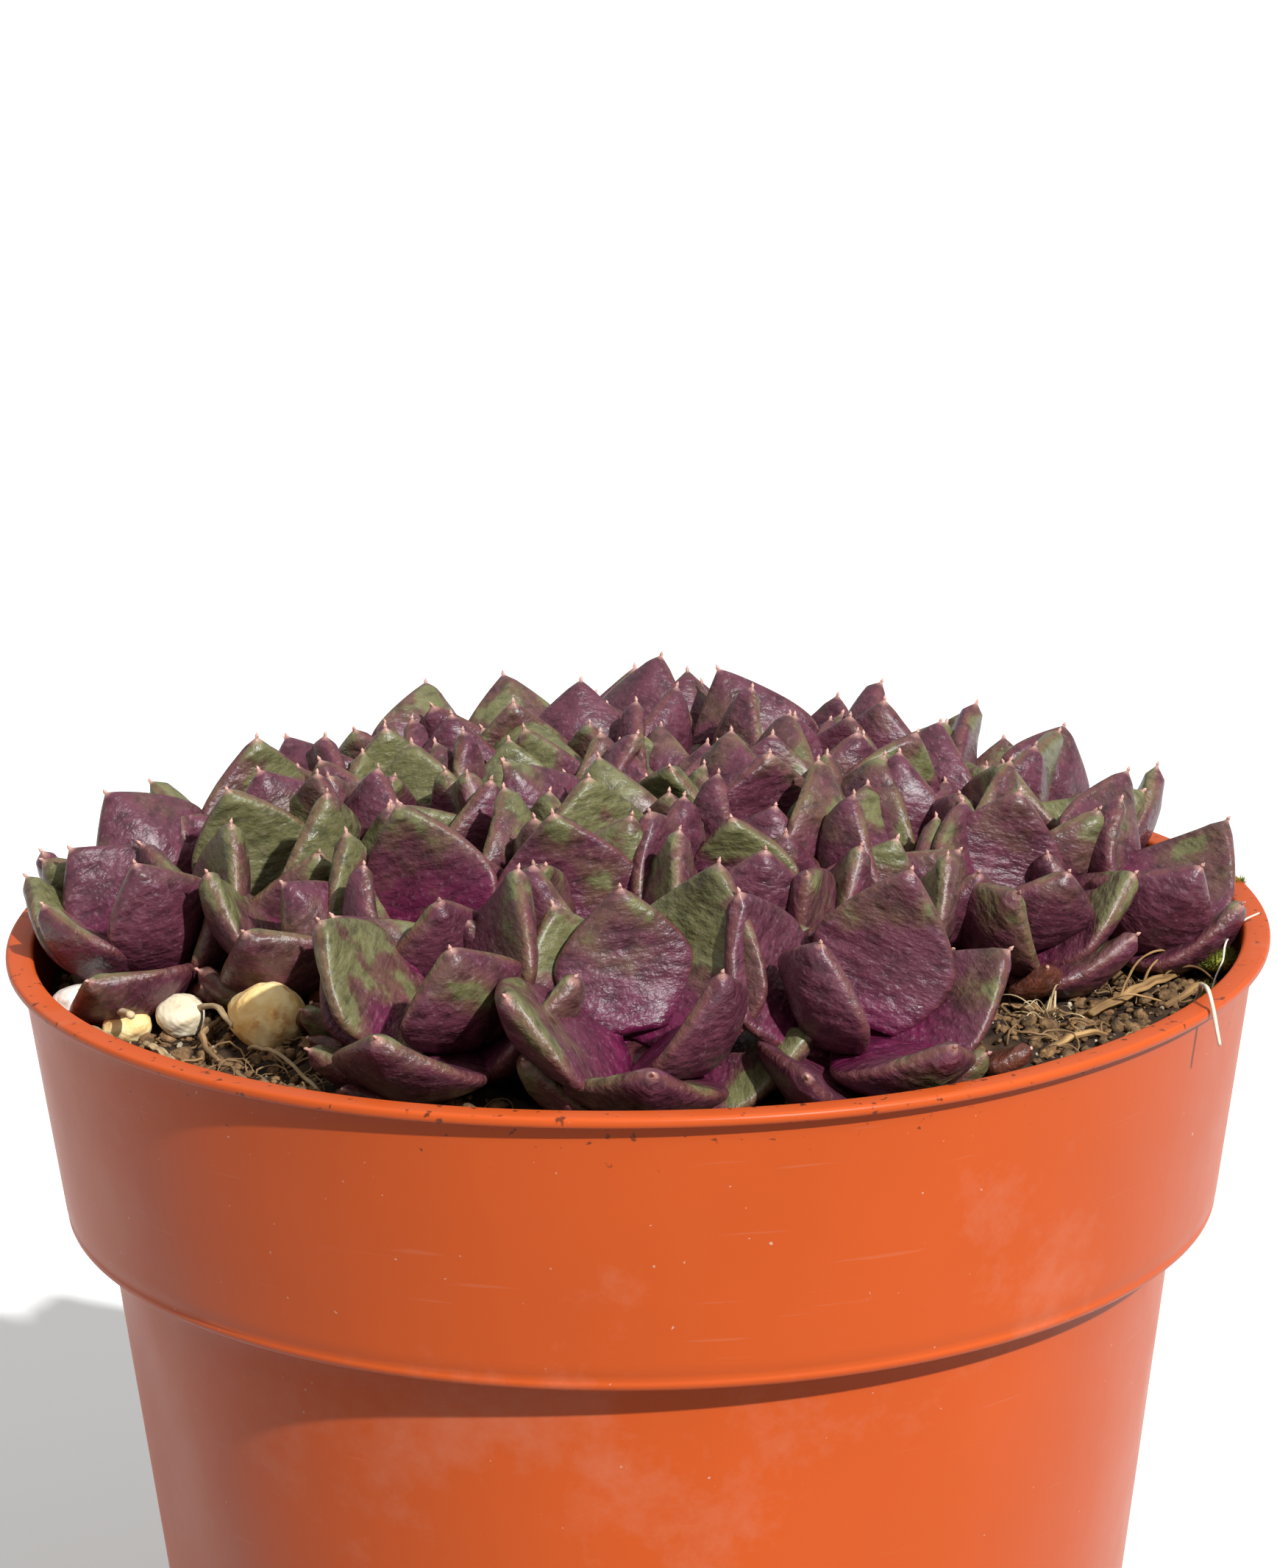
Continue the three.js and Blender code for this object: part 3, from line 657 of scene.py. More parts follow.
def pot_profile(settings):
    """The pot's section as (radius, height) rows: outside up, over the lip and down the inside."""
    wall = settings.wall / MM
    lip = settings.lip_thickness / MM
    overhang = settings.lip_overhang / MM
    shoulder_z = POT_HEIGHT - settings.collar_height / MM
    foot_width = settings.foot_width / MM
    foot_height = settings.foot_height / MM
    collar_top = RIM_RADIUS - overhang
    lip_low = POT_HEIGHT - lip

    def collar(z):
        return collar_top - (lip_low - z) * COLLAR_SLOPE

    body_top = collar(shoulder_z) - settings.shoulder_step / MM

    def body(z):
        return body_top - (shoulder_z - z) * BODY_SLOPE

    def arc(centre_r, centre_z, radius, start, end, steps):
        angles = np.radians(np.linspace(start, end, steps))
        return [(centre_r + radius * math.cos(a), centre_z + radius * math.sin(a)) for a in angles]

    foot_in = body(0) - foot_width
    soft = 0.5
    outside = [(0, foot_height), (foot_in * 0.5, foot_height), (foot_in - soft, foot_height)]
    outside += arc(foot_in - soft, foot_height - soft, soft, 90, 0, 5)
    outside += [(foot_in, 0.4)] + arc(foot_in + 0.4, 0.4, 0.4, 180, 270, 4)
    outside += arc(body(0) - 0.8, 0.8, 0.8, 270, 360, 6)
    outside += [(body(z), z) for z in np.linspace(2, shoulder_z - 0.8, 26)]
    outside += arc(body(shoulder_z) + 0.6, shoulder_z - 0.6, 0.6, 180, 90, 5)
    # The collar's lower edge is a thin rolled bead
    outside += arc(collar(shoulder_z) - 0.55, shoulder_z + 0.55, 0.6, 270, 390, 9)
    outside += [(collar(z), z) for z in np.linspace(shoulder_z + 1.4, lip_low - 0.7, 22)]
    outside += arc(collar(lip_low) + 0.45, lip_low - 0.45, 0.45, 180, 90, 5)
    outside += arc(RIM_RADIUS - 0.4, lip_low + 0.4, 0.4, 270, 360, 5)
    outside += arc(RIM_RADIUS - 0.35, POT_HEIGHT - 0.35, 0.35, 0, 90, 5)
    inside = arc(collar_top - wall + 0.4, POT_HEIGHT - 0.4, 0.4, 90, 180, 5)
    inside += [(collar(z) - wall, z) for z in np.linspace(POT_HEIGHT - 2, shoulder_z + wall + 0.6, 14)]
    inside += [(body(shoulder_z) - wall, shoulder_z + wall)]
    inside += [(body(z) - wall, z) for z in np.linspace(shoulder_z - 2, 3, 12)]
    inside += [(body(wall) - wall, wall), (foot_in + wall, wall)]
    inside += [(foot_in + wall, foot_height + wall), (foot_in * 0.5, foot_height + wall)]
    inside += [(0, foot_height + wall)]
    return outside + inside


def revolve(profile, sides):
    """A closed turned shape whose section starts and ends on the axis."""
    rows = np.array(profile[1:-1], float)
    angle = np.arange(sides) * 2 * math.pi / sides
    points = np.stack(
        [
            rows[:, 0, None] * np.cos(angle),
            rows[:, 0, None] * np.sin(angle),
            np.repeat(rows[:, 1, None], sides, 1),
        ],
        -1,
    ).reshape(-1, 3)
    faces = grid_faces(len(rows), sides)
    low, high = len(points), len(points) + 1
    points = np.vstack([points, (0, 0, profile[0][1]), (0, 0, profile[-1][1])])
    last = (len(rows) - 1) * sides
    for i in range(sides):
        j = (i + 1) % sides
        faces.append((j, i, low))
        faces.append((last + i, last + j, high))
    return points, faces


DRAIN_RADIUS = 3.6
DRAIN_CIRCLE = 19
DRAIN_COUNT = 4


def cut_drain_holes(piece, settings):
    """Drills the round drain holes through the pot's floor."""
    middle = settings.foot_height / MM + settings.wall / MM / 2
    profile = [(0, middle - 4), (DRAIN_RADIUS, middle - 4), (DRAIN_RADIUS, middle + 4), (0, middle + 4)]
    drills = []
    for i in range(DRAIN_COUNT):
        angle = (i + 0.5) * 2 * math.pi / DRAIN_COUNT
        points, faces = revolve(profile, 32)
        centre = (DRAIN_CIRCLE * math.cos(angle), DRAIN_CIRCLE * math.sin(angle), 0)
        drills.append((points + centre, faces))
    points, faces = joined(drills)
    mesh = bpy.data.meshes.new("drills")
    mesh.from_pydata((points * MM).tolist(), [], faces)
    drill = bpy.data.objects.new("drills", mesh)
    bpy.context.scene.collection.objects.link(drill)
    cut = piece.modifiers.new("drain holes", "BOOLEAN")
    cut.operation = "DIFFERENCE"
    cut.solver = "EXACT"
    cut.object = drill
    graph = bpy.context.evaluated_depsgraph_get()
    made = bpy.data.meshes.new_from_object(piece.evaluated_get(graph), depsgraph=graph)
    piece.modifiers.clear()
    piece.data = made
    bpy.data.objects.remove(drill)


class SUCCULENT_OT_pot(bpy.types.Operator):
    """Builds the pot as one thin moulded skin"""

    bl_idname = "succulent.pot"
    bl_label = "Pot"

    def execute(self, context):
        settings = context.scene.succulent_pot
        points, faces = revolve(pot_profile(settings), 288)
        # The thin lip is never quite round or flat
        turn = np.arctan2(points[:, 1], points[:, 0])
        loose = np.clip((points[:, 2] - (POT_HEIGHT - 30)) / 30, 0, 1) ** 2
        sway = 0.12 * np.sin(2 * turn + 0.6) + 0.07 * np.sin(5 * turn + 1.9)
        reach = np.hypot(points[:, 0], points[:, 1]) + 1e-9
        points[:, :2] *= (1 + (sway - 0.12) * loose / reach)[:, None]
        points[:, 2] += (0.1 * np.sin(3 * turn + 0.4) + 0.05 * np.sin(7 * turn) - 0.15) * loose
        piece = add_piece("nursery_pot", (points, faces), pot_plastic(settings), ["pot"])
        cut_drain_holes(piece, settings)
        return {"FINISHED"}


# ---------------------------------------------------------------- leaves


def rosette_axis(x, y):
    lean = math.radians(ROSETTE_LEAN) * edge_share(x, y) ** 1.3
    heading = math.atan2(y, x)
    return np.array(
        [math.sin(lean) * math.cos(heading), math.sin(lean) * math.sin(heading), math.cos(lean)]
    )


def crown_of(x, y):
    return np.array([x, y, soil_height(x, y) + STALK_RISE])


def leaves_of(rosette, number):
    """The leaves of one rosette: base, direction, inner normal, length and age."""
    x, y, length, turn, count, greenness = rosette
    axis = rosette_axis(x, y)
    crown = crown_of(x, y)
    east = np.array([1.0, 0, 0]) - axis * axis[0]
    east /= np.linalg.norm(east)
    north = np.cross(axis, east)
    open_old = OPEN_CROWDED + (OPEN_EDGE - OPEN_CROWDED) * edge_share(x, y) ** 2
    leaves = []
    for k in range(count):
        age = 1 - k / (count - 1)
        opening = math.radians(OPEN_YOUNG + (open_old - OPEN_YOUNG) * age**0.85)
        around = math.radians(turn + GOLDEN_ANGLE * k)
        outward = east * math.cos(around) + north * math.sin(around)
        leaves.append(
            {
                "rosette": number,
                "age": age,
                "green": greenness,
                "length": length * (1 - 0.9 * (age - 0.5) ** 2),
                "base": crown - axis * STALK_LENGTH * age + outward * LEAF_OFFSET,
                "direction": axis * math.cos(opening) + outward * math.sin(opening),
                "inner": axis * math.sin(opening) - outward * math.cos(opening),
            }
        )
    return leaves


def settle(leaves):
    """Leans the leaves away from other rosettes, the pot's edge and the soil."""
    base = np.array([leaf["base"] for leaf in leaves])
    way = np.array([leaf["direction"] for leaf in leaves])
    length = np.array([leaf["length"] for leaf in leaves])
    rosette = np.array([leaf["rosette"] for leaf in leaves])
    share, bulk = np.array(BEADS).T
    owner = np.repeat(np.arange(len(leaves)), len(BEADS))
    bead_share = np.tile(share, len(leaves))
    radius = (length[:, None] * bulk).ravel()
    stalks = np.array(
        [crown_of(r[0], r[1]) - rosette_axis(r[0], r[1]) * STALK_LENGTH / 2 for r in ROSETTES]
    )
    all_radius = np.concatenate([radius, np.full(len(stalks), STALK_RADIUS * 1.4)])
    all_rosette = np.concatenate([rosette[owner], np.arange(len(ROSETTES))])
    other = rosette[owner][:, None] != all_rosette[None, :]
    for _ in range(SETTLE_ROUNDS):
        beads = (base[:, None] + way[:, None] * (length[:, None] * share)[:, :, None]).reshape(-1, 3)
        apart = beads[:, None] - np.vstack([beads, stalks])[None]
        gap = np.linalg.norm(apart, axis=2)
        overlap = np.clip(radius[:, None] + all_radius[None] - gap, 0, None) * other
        push = (apart * (overlap / (gap + 1e-9))[:, :, None]).sum(1) * (0.5 * bead_share)[:, None]
        reach = np.hypot(beads[:, 0], beads[:, 1])
        past = np.clip(reach + radius - (RIM_RADIUS - LEAF_MARGIN), 0, None) / reach
        push[:, :2] -= past[:, None] * beads[:, :2]
        ground = soil_height(beads[:, 0], beads[:, 1]) + radius + CLEARANCE
        push[:, 2] += 0.7 * np.clip(ground - beads[:, 2], 0, None)
        move = np.zeros_like(way)
        np.add.at(move, owner, push)
        way = way * length[:, None] + 0.7 * move
        way /= np.linalg.norm(way, axis=1)[:, None]
    for leaf, direction in zip(leaves, way):
        inner = leaf["inner"] - direction * (leaf["inner"] @ direction)
        leaf["direction"] = direction
        leaf["inner"] = inner / np.linalg.norm(inner)


LEAF_SIDES = 30
LEAF_RINGS = 36
POINT_RINGS = 5

# Longest leaf edge radius, in millimetres, and the point's length as a share of the leaf's
EDGE_RADIUS = 0.8
POINT_SHARE = 0.028

# The wall's inner face lies this far inside the rim's edge, at this depth under the lip's top
WALL_INSET = 2.7
WALL_DEPTH = 2


def inside_wall(points):
    """Presses back to the wall's inner face what would pass through it; above the lip a leaf is free."""
    height = points[:, 2]
    wall = RIM_RADIUS - WALL_INSET - (POT_HEIGHT - WALL_DEPTH - height) * COLLAR_SLOPE
    free = 25 * np.clip((height - POT_HEIGHT - 0.2) / 1.2, 0, 1)
    reach = np.maximum(np.hypot(points[:, 0], points[:, 1]), 0.01)
    share = np.minimum(1, (wall + free) / reach)
    return points * np.stack([share, share, np.ones(len(share))], -1)


def leaf_shape(leaf, settings, seed, plumpness=1.0):
    """One leaf: broad, keeled behind, flat inside, with a rounded edge and a horny point."""
    draw = np.random.default_rng(seed)
    length = leaf["length"] * draw.uniform(0.94, 1.1)
    opening = math.radians(draw.uniform(-4, 16))
    half = length * settings.leaf_width / 2 * draw.uniform(0.92, 1.06)
    keel = length * settings.leaf_thickness * draw.uniform(0.85, 1.15) * plumpness
    cup = draw.uniform(-0.03, 0.06)
    bow = draw.uniform(0.05, 0.11)
    curl = draw.uniform(0.02, 0.12)
    sway = draw.uniform(-0.06, 0.06)
    twist = draw.uniform(-0.38, 0.38)
    peak = draw.uniform(0.42, 0.54)

    # Body rings, closer together towards the tip, then the point
    t = 1 - (1 - np.linspace(0, 1, LEAF_RINGS)) ** 1.35
    swell = 0.5 + 0.5 * np.sin(np.clip(t / peak, 0, 1) * math.pi / 2)
    taper = np.clip((t - peak) / (1 - peak), 0, 1)
    width = half * np.where(t < peak, swell, 1 - taper**1.5)
    width = np.maximum(width, 0.15)
    edge = np.minimum(EDGE_RADIUS, width * 0.75)
    depth = keel * (0.7 + 0.3 * np.sin(math.pi * t)) * (1 - t**2.6) * (0.55 + 0.45 * np.clip(t / 0.15, 0, 1))
    spike = np.linspace(0, 1, POINT_RINGS + 1)[1:]
    t = np.concatenate([t, 1 + spike * POINT_SHARE])
    thin = 0.16 * (1 - spike) + 0.03
    width = np.concatenate([width, thin])
    edge = np.concatenate([edge, thin])
    depth = np.concatenate([depth, np.zeros(POINT_RINGS)])

    angle = np.arange(LEAF_SIDES) * 2 * math.pi / LEAF_SIDES
    across = np.cos(angle)
    rise = np.abs(np.sin(angle)) ** 0.62
    inward = np.sin(angle) >= 0
    body = np.clip(1 - t, 0, 1) ** 0.3
    hollow = (cup * width * body)[:, None] * (1 - across**2)[None]
    inner_face = edge[:, None] * rise[None] - hollow
    outer_face = -edge[:, None] * rise[None] - hollow * 0.6
    outer_face = outer_face - depth[:, None] * (1 - np.abs(across) ** 1.25)[None]
    lift = np.where(inward[None], inner_face, outer_face)

    # The midline bows outwards and its tip turns back in
    direction = leaf["direction"] * math.cos(opening) - leaf["inner"] * math.sin(opening)
    inner = leaf["inner"] * math.cos(opening) + leaf["direction"] * math.sin(opening)
    side = np.cross(direction, inner)
    flat = np.clip(t, 0, 1)
    along = length * t
    bowing = length * (-bow * np.sin(math.pi * flat) + curl * t**3)
    slope = np.gradient(bowing, along)
    ahead = 1 / np.hypot(1, slope)
    turn = twist * flat
    side_ring = np.cos(turn)[:, None] * side + np.sin(turn)[:, None] * inner
    up_ring = ahead[:, None] * inner - (slope * ahead)[:, None] * direction
    up_ring = np.cos(turn)[:, None] * up_ring - np.sin(turn)[:, None] * side
    centre = leaf["base"] + along[:, None] * direction + bowing[:, None] * inner
    centre = centre + (length * sway * flat**2)[:, None] * side
    x = width[:, None] * across[None]
    points = centre[:, None] + x[:, :, None] * side_ring[:, None] + lift[:, :, None] * up_ring[:, None]

    # Larger wrinkles: soft dents everywhere, and creases across the inner face
    rings = len(t)
    local = np.stack([x, np.repeat(along[:, None], LEAF_SIDES, 1), lift], -1).reshape(-1, 3)
    dent = ripple(local, 4.5, seed + 1) + 0.6 * ripple(local, 1.9, seed + 2)
    crease = ripple(local * (0.35, 1, 1), 1.1, seed + 3)
    wrinkle = settings.wrinkle / MM
    body_share = np.repeat((np.clip(1 - t, 0, 1) ** 0.5)[:, None], LEAF_SIDES, 1).ravel()
    outward = (np.where(inward, 1.0, -1.0) * np.sqrt(rise))[None].repeat(rings, 0).ravel()
    push = wrinkle * (1.1 * dent + 0.55 * crease) * body_share * outward
    points = inside_wall(points.reshape(-1, 3) + push[:, None] * np.repeat(up_ring, LEAF_SIDES, 0))

    faces = [face[::-1] for face in grid_faces(rings, LEAF_SIDES)]
    faces.append(tuple(range(LEAF_SIDES)))
    faces.append(tuple(range((rings - 1) * LEAF_SIDES, rings * LEAF_SIDES))[::-1])

    level = np.repeat(t[:, None], LEAF_SIDES, 1).ravel()
    reach = np.abs(np.tile(across, rings))
    top = np.clip((level - 0.25) / 0.5, 0, 1)
    back = np.tile(np.where(inward, 0.0, 1.0), rings)
    green = leaf["green"] * 0.42 + draw.uniform(-0.2, 0.14) + 0.3 * top - 0.14 * back
    values = {
        "leaf_place": (local + (0, 0, seed * 7.3)) * MM,
        "leaf_green": green,
        "leaf_base": np.clip(1.25 - level * 1.5 - 0.35 * back + draw.uniform(-0.3, 0.3), 0, 1),
        "leaf_rim": np.maximum(reach**3, np.clip((level - 0.8) / 0.2, 0, 1) ** 2),
        "leaf_point": np.clip((level - 0.965) / 0.04, 0, 1),
        "leaf_amber": np.full(len(level), leaf.get("amber", 0.0)),
    }
    return points, faces, values


def stalk_shape(rosette, seed):
    """The short, ringed stalk under a rosette."""
    x, y = rosette[0], rosette[1]
    axis = rosette_axis(x, y)
    crown = crown_of(x, y) - axis * 1.2
    depth = (STALK_RISE + STALK_ROOT) / axis[2] - 1.2
    share = np.linspace(0, 1, 14)
    path = crown[None] - axis[None] * (share * depth)[:, None]
    radii = STALK_RADIUS * (0.8 + 0.2 * np.minimum(1, share * 4)) * (1 + 0.06 * np.sin(share * 40))
    return tube(path, radii, 14, groove=0.04, seed=seed)


def rosette_piece(number, rosette, leaves, settings, skin):
    """One rosette as one piece: its stalk and its leaves."""
    parts, gathered = [], []
    for k, leaf in enumerate(leaves):
        points, faces, values = leaf_shape(leaf, settings, 100 * number + k)
        parts.append((points, faces))
        gathered.append(values)
    points, faces = stalk_shape(rosette, number)
    parts.append((points, faces))
    stalk_values = {
        "leaf_place": points * MM,
        "leaf_green": np.full(len(points), 0.1),
        "leaf_base": np.full(len(points), 0.4),
        "leaf_rim": np.full(len(points), 0.9),
        "leaf_point": np.zeros(len(points)),
        "leaf_amber": np.full(len(points), 0.3),
    }
    gathered.append(stalk_values)
    values = {key: np.concatenate([one[key] for one in gathered]) for key in stalk_values}
    node = f"rosette_{number + 1:02d}"
    add_piece(f"{node}_leaves", joined(parts), skin, [node], values)


class SUCCULENT_OT_rosettes(bpy.types.Operator):
    """Builds every rosette from the frame's layout"""

    bl_idname = "succulent.rosettes"
    bl_label = "Rosettes"

    def execute(self, context):
        settings = context.scene.succulent_plant
        skin = leaf_skin(settings)
        leaves = [leaf for i, row in enumerate(ROSETTES) for leaf in leaves_of(row, i)]
        settle(leaves)
        for number, rosette in enumerate(ROSETTES):
            own = [leaf for leaf in leaves if leaf["rosette"] == number]
            if edge_share(rosette[0], rosette[1]) > 0.6:
                own[0]["amber"] = 0.35
            rosette_piece(number, rosette, own, settings, skin)
        return {"FINISHED"}


# Small dying leaves on the soil: (x, y, length, heading in degrees, tilt in degrees, amber)
HUSKS = (
    (-24.5, -19.5, 5, 250, 30, 1.0),
    (-20.5, -24.5, 6, 200, 15, 0.9),
    (-25.5, -14, 4.5, 300, 50, 1.0),
    (-11.5, -43, 6, 190, 8, 0.5),
    (1.5, -46, 5.5, 350, 8, 0.45),
    (9.5, -43.5, 5, 20, 12, 0.7),
    (27, -29, 5, 320, 25, 1.0),
    (31.5, -11.5, 5.5, 290, 40, 1.0),
    (36.5, -4.5, 5, 300, 20, 0.8),
    (-33.5, -8.5, 5.5, 250, 20, 0.7),
    (-19, -33, 6, 230, 12, 0.6),
    (25.5, -35, 5.5, 300, 10, 0.8),
)


class SUCCULENT_OT_husks(bpy.types.Operator):
    """Builds the small drying leaves that lie at the foot of the plant"""

    bl_idname = "succulent.husks"
    bl_label = "Drying leaves"

    def execute(self, context):
        settings = context.scene.succulent_plant
        skin = leaf_skin(settings, "drying_leaf_skin")
        for i, (x, y, length, heading, tilt, amber) in enumerate(HUSKS):
            a, b = math.radians(heading), math.radians(tilt)
            ahead = np.array([math.cos(a) * math.cos(b), math.sin(a) * math.cos(b), math.sin(b)])
            inner = np.array([-math.cos(a) * math.sin(b), -math.sin(a) * math.sin(b), math.cos(b)])
            leaf = {
                "base": np.array([x, y, soil_height(x, y) + 1.0]),
                "direction": ahead,
                "inner": inner,
                "length": length,
                "green": 0.0,
                "amber": amber,
            }
            points, faces, values = leaf_shape(leaf, settings, 9000 + 10 * i, plumpness=0.3)
            add_piece(f"drying_leaf_{i + 1:02d}", (points, faces), skin, (), values)
        return {"FINISHED"}


# ---------------------------------------------------------------- soil and litter


def soil_relief(x, y):
    """Height of the crumbly surface over the smooth mound."""
    flat = np.stack([x, y, np.zeros_like(x)], -1)
    slow = 0.35 * (np.sin(0.43 * x + 1.1) + np.sin(0.51 * y - 0.4) + 0.7 * np.sin(0.37 * (x + y)))
    relief = slow + 0.55 * crumble(flat, 5.5, 11) + 0.32 * crumble(flat, 2.4, 12)
    return relief + 0.14 * crumble(flat, 1.0, 13) - 0.45


def on_soil(x, y):
    x, y = np.asarray(x, float), np.asarray(y, float)
    return soil_height(x, y) + soil_relief(np.atleast_1d(x), np.atleast_1d(y)).reshape(x.shape)


def soil_body_profile(settings):
    """The inside of the pot below the soil's surface, a clearance inside the plastic."""
    inside = pot_profile(settings)
    top = inside.index(max(inside, key=lambda row: row[1]))
    skin = [(max(r - CLEARANCE, 0), z) for r, z in inside[top:] if z < POT_HEIGHT - SOIL_DROP - 1]
    low = settings.foot_height / MM + settings.wall / MM + CLEARANCE
    return [(r, z) for r, z in skin if z > low + 1] + [(skin[-5][0] - 1, low), (12, low), (0, low)]


class SUCCULENT_OT_soil(bpy.types.Operator):
    """Builds the crumbly soil"""

    bl_idname = "succulent.soil"
    bl_label = "Soil"

    def execute(self, context):
        ground = context.scene.succulent_ground
        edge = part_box("soil")[1].x / MM
        rows = [(0, 0)] + [(edge * s, 0) for s in np.linspace(0.004, 1, 150)]
        below = soil_body_profile(context.scene.succulent_pot)
        points, faces = revolve(rows + below, 420)
        top = points[:, 2] == 0
        x, y = points[top, 0], points[top, 1]
        points[top, 2] = on_soil(x, y)
        dark = earth("peat_and_bark_mix", linear("#120b07"), ground.peat[:], 2.2)
        faces = [face[::-1] for face in faces]
        add_piece("soil_body", (points, faces), dark, ["soil"])
        return {"FINISHED"}


# How far from the middle litter lies, and how far a crumb may reach
LITTER_REACH = 48.6
CRUMB_REACH = 48.9


def scatter(draw, count):
    """Places on the soil, most of them on its open parts at the front and the sides."""
    angle = draw.uniform(0, 2 * math.pi, count)
    reach = LITTER_REACH * np.sqrt(draw.uniform(0, 1, count))
    x, y = reach * np.cos(angle), reach * np.sin(angle)
    shown = ((x < -22) & (y < -4)) | ((x > 24) & (y < 6)) | (reach > 38)
    return x[shown], y[shown]


def crumb_shapes(draw, x, y, sizes, squash):
    """Small irregular grains, each turned and squashed at random."""
    ball, faces = lump(2)
    parts = []
    for px, py, size, z in zip(x, y, sizes, on_soil(x, y)):
        seed = int(draw.integers(1, 100000))
        rough = 1 + 0.26 * ripple(ball, 1.6, seed, waves=4) + 0.26 * ripple(ball, 0.7, seed + 1, waves=4)
        stretch = np.array([1, draw.uniform(0.6, 1), draw.uniform(*squash)])
        spin = Matrix.Rotation(draw.uniform(0, 2 * math.pi), 3, "Z")
        turn = np.array(spin @ Matrix.Rotation(draw.uniform(-0.7, 0.7), 3, "X"))
        points = (ball * rough[:, None] * stretch * size) @ turn.T
        parts.append((points + (px, py, z + size * 0.35), faces))
    return joined(parts)


class SUCCULENT_OT_crumbs(bpy.types.Operator):
    """Strews crumbs of peat, chips of bark, grit and fine fibres over the open soil"""

    bl_idname = "succulent.crumbs"
    bl_label = "Crumbs and fibres"

    def execute(self, context):
        ground = context.scene.succulent_ground
        draw = np.random.default_rng(5)
        peat = earth("dark_peat_crumbs", linear("#1f150d"), linear("#977550"), 0.9)
        bark = earth("bark_chips", linear("#4a3120"), ground.bark[:], 0.9, 0.85)
        pale = earth("pale_grit", linear("#8d7f68"), ground.grit[:], 0.6, 0.7)
        for name, share, low, high, squash, material in (
            ("peat_crumbs", 0.62, 0.2, 0.85, (0.5, 1.0), peat),
            ("bark_chips", 0.26, 0.2, 1.0, (0.15, 0.4), bark),
            ("grit_grains", 0.12, 0.12, 0.42, (0.7, 1.0), pale),
        ):
            x, y = scatter(draw, int(ground.crumbs * share * 2.3))
            sizes = low + (high - low) * draw.uniform(0, 1, len(x)) ** 2.6
            reach = np.hypot(x, y)
            keep = reach + sizes < CRUMB_REACH
            shape = crumb_shapes(draw, x[keep], y[keep], sizes[keep], squash)
            add_piece(name, shape, material)
        fibres = []
        x, y = scatter(draw, int(ground.fibres * 1.9))
        for px, py in zip(x, y):
            heading = draw.uniform(0, 2 * math.pi)
            length = draw.uniform(2, 7)
            bend = draw.uniform(-1.3, 1.3)
            u = np.linspace(-0.5, 0.5, 9)
            way = heading + bend * u * 2
            path = np.stack([px + length * u * np.cos(way), py + length * u * np.sin(way)], -1)
            inside = np.hypot(path[:, 0], path[:, 1]).max() < LITTER_REACH
            if not inside:
                continue
            lift = 0.3 + draw.uniform(0.1, 0.9) * np.cos(u * math.pi)
            z = on_soil(path[:, 0], path[:, 1]) + lift
            shape = tube(np.column_stack([path, z]), draw.uniform(0.05, 0.13), 5)
            fibres.append(strand_values(shape, len(u), 5))
        shape, values = joined_strands(fibres)
        tan = dry_fibre("coir_fibres", linear("#5b4129"), linear("#b08d5e"))
        add_piece("soil_fibres", shape, tan, (), values)
        return {"FINISHED"}


def strand_values(shape, steps, sides, seed=0.0):
    """A tube with its own lengthwise coordinates, for streaks that follow it."""
    points, faces = shape
    path = points[: steps * sides].reshape(steps, sides, 3)
    along = np.concatenate([[0], np.cumsum(np.linalg.norm(np.diff(path.mean(1), axis=0), axis=1))])
    middle = path.mean(1)
    radius = np.linalg.norm(path[:, 0] - middle, axis=1)
    angle = np.arange(sides) * 2 * math.pi / sides
    around = np.stack(
        [
            radius[:, None] * np.cos(angle),
            np.repeat(along[:, None], sides, 1),
            radius[:, None] * np.sin(angle) + seed,
        ],
        -1,
    ).reshape(-1, 3)
    ends = np.array([[0, along[0], seed], [0, along[-1], seed]])
    return points, faces, np.vstack([around, ends]) * MM


def joined_strands(strands):
    points, faces = joined([(s[0], s[1]) for s in strands])
    return (points, faces), {"strand_place": np.vstack([s[2] for s in strands])}


def strand_piece(name, path, radii, sides, finish, nodes=(), seed=0, **look):
    """One strand as a piece of its own."""
    shape = tube(path, radii, sides, seed=seed, **look)
    shape, values = joined_strands([strand_values(shape, len(path), sides, seed)])
    add_piece(name, shape, finish, nodes, values)


def strand_path(points, steps, over_soil=True):
    """A strand's route, with heights given over the soil or over the lip."""
    points = np.array(points, float)
    if over_soil:
        points[:, 2] += soil_height(points[:, 0], points[:, 1])
    else:
        points[:, 2] += POT_HEIGHT
    return smooth_path(points, steps)


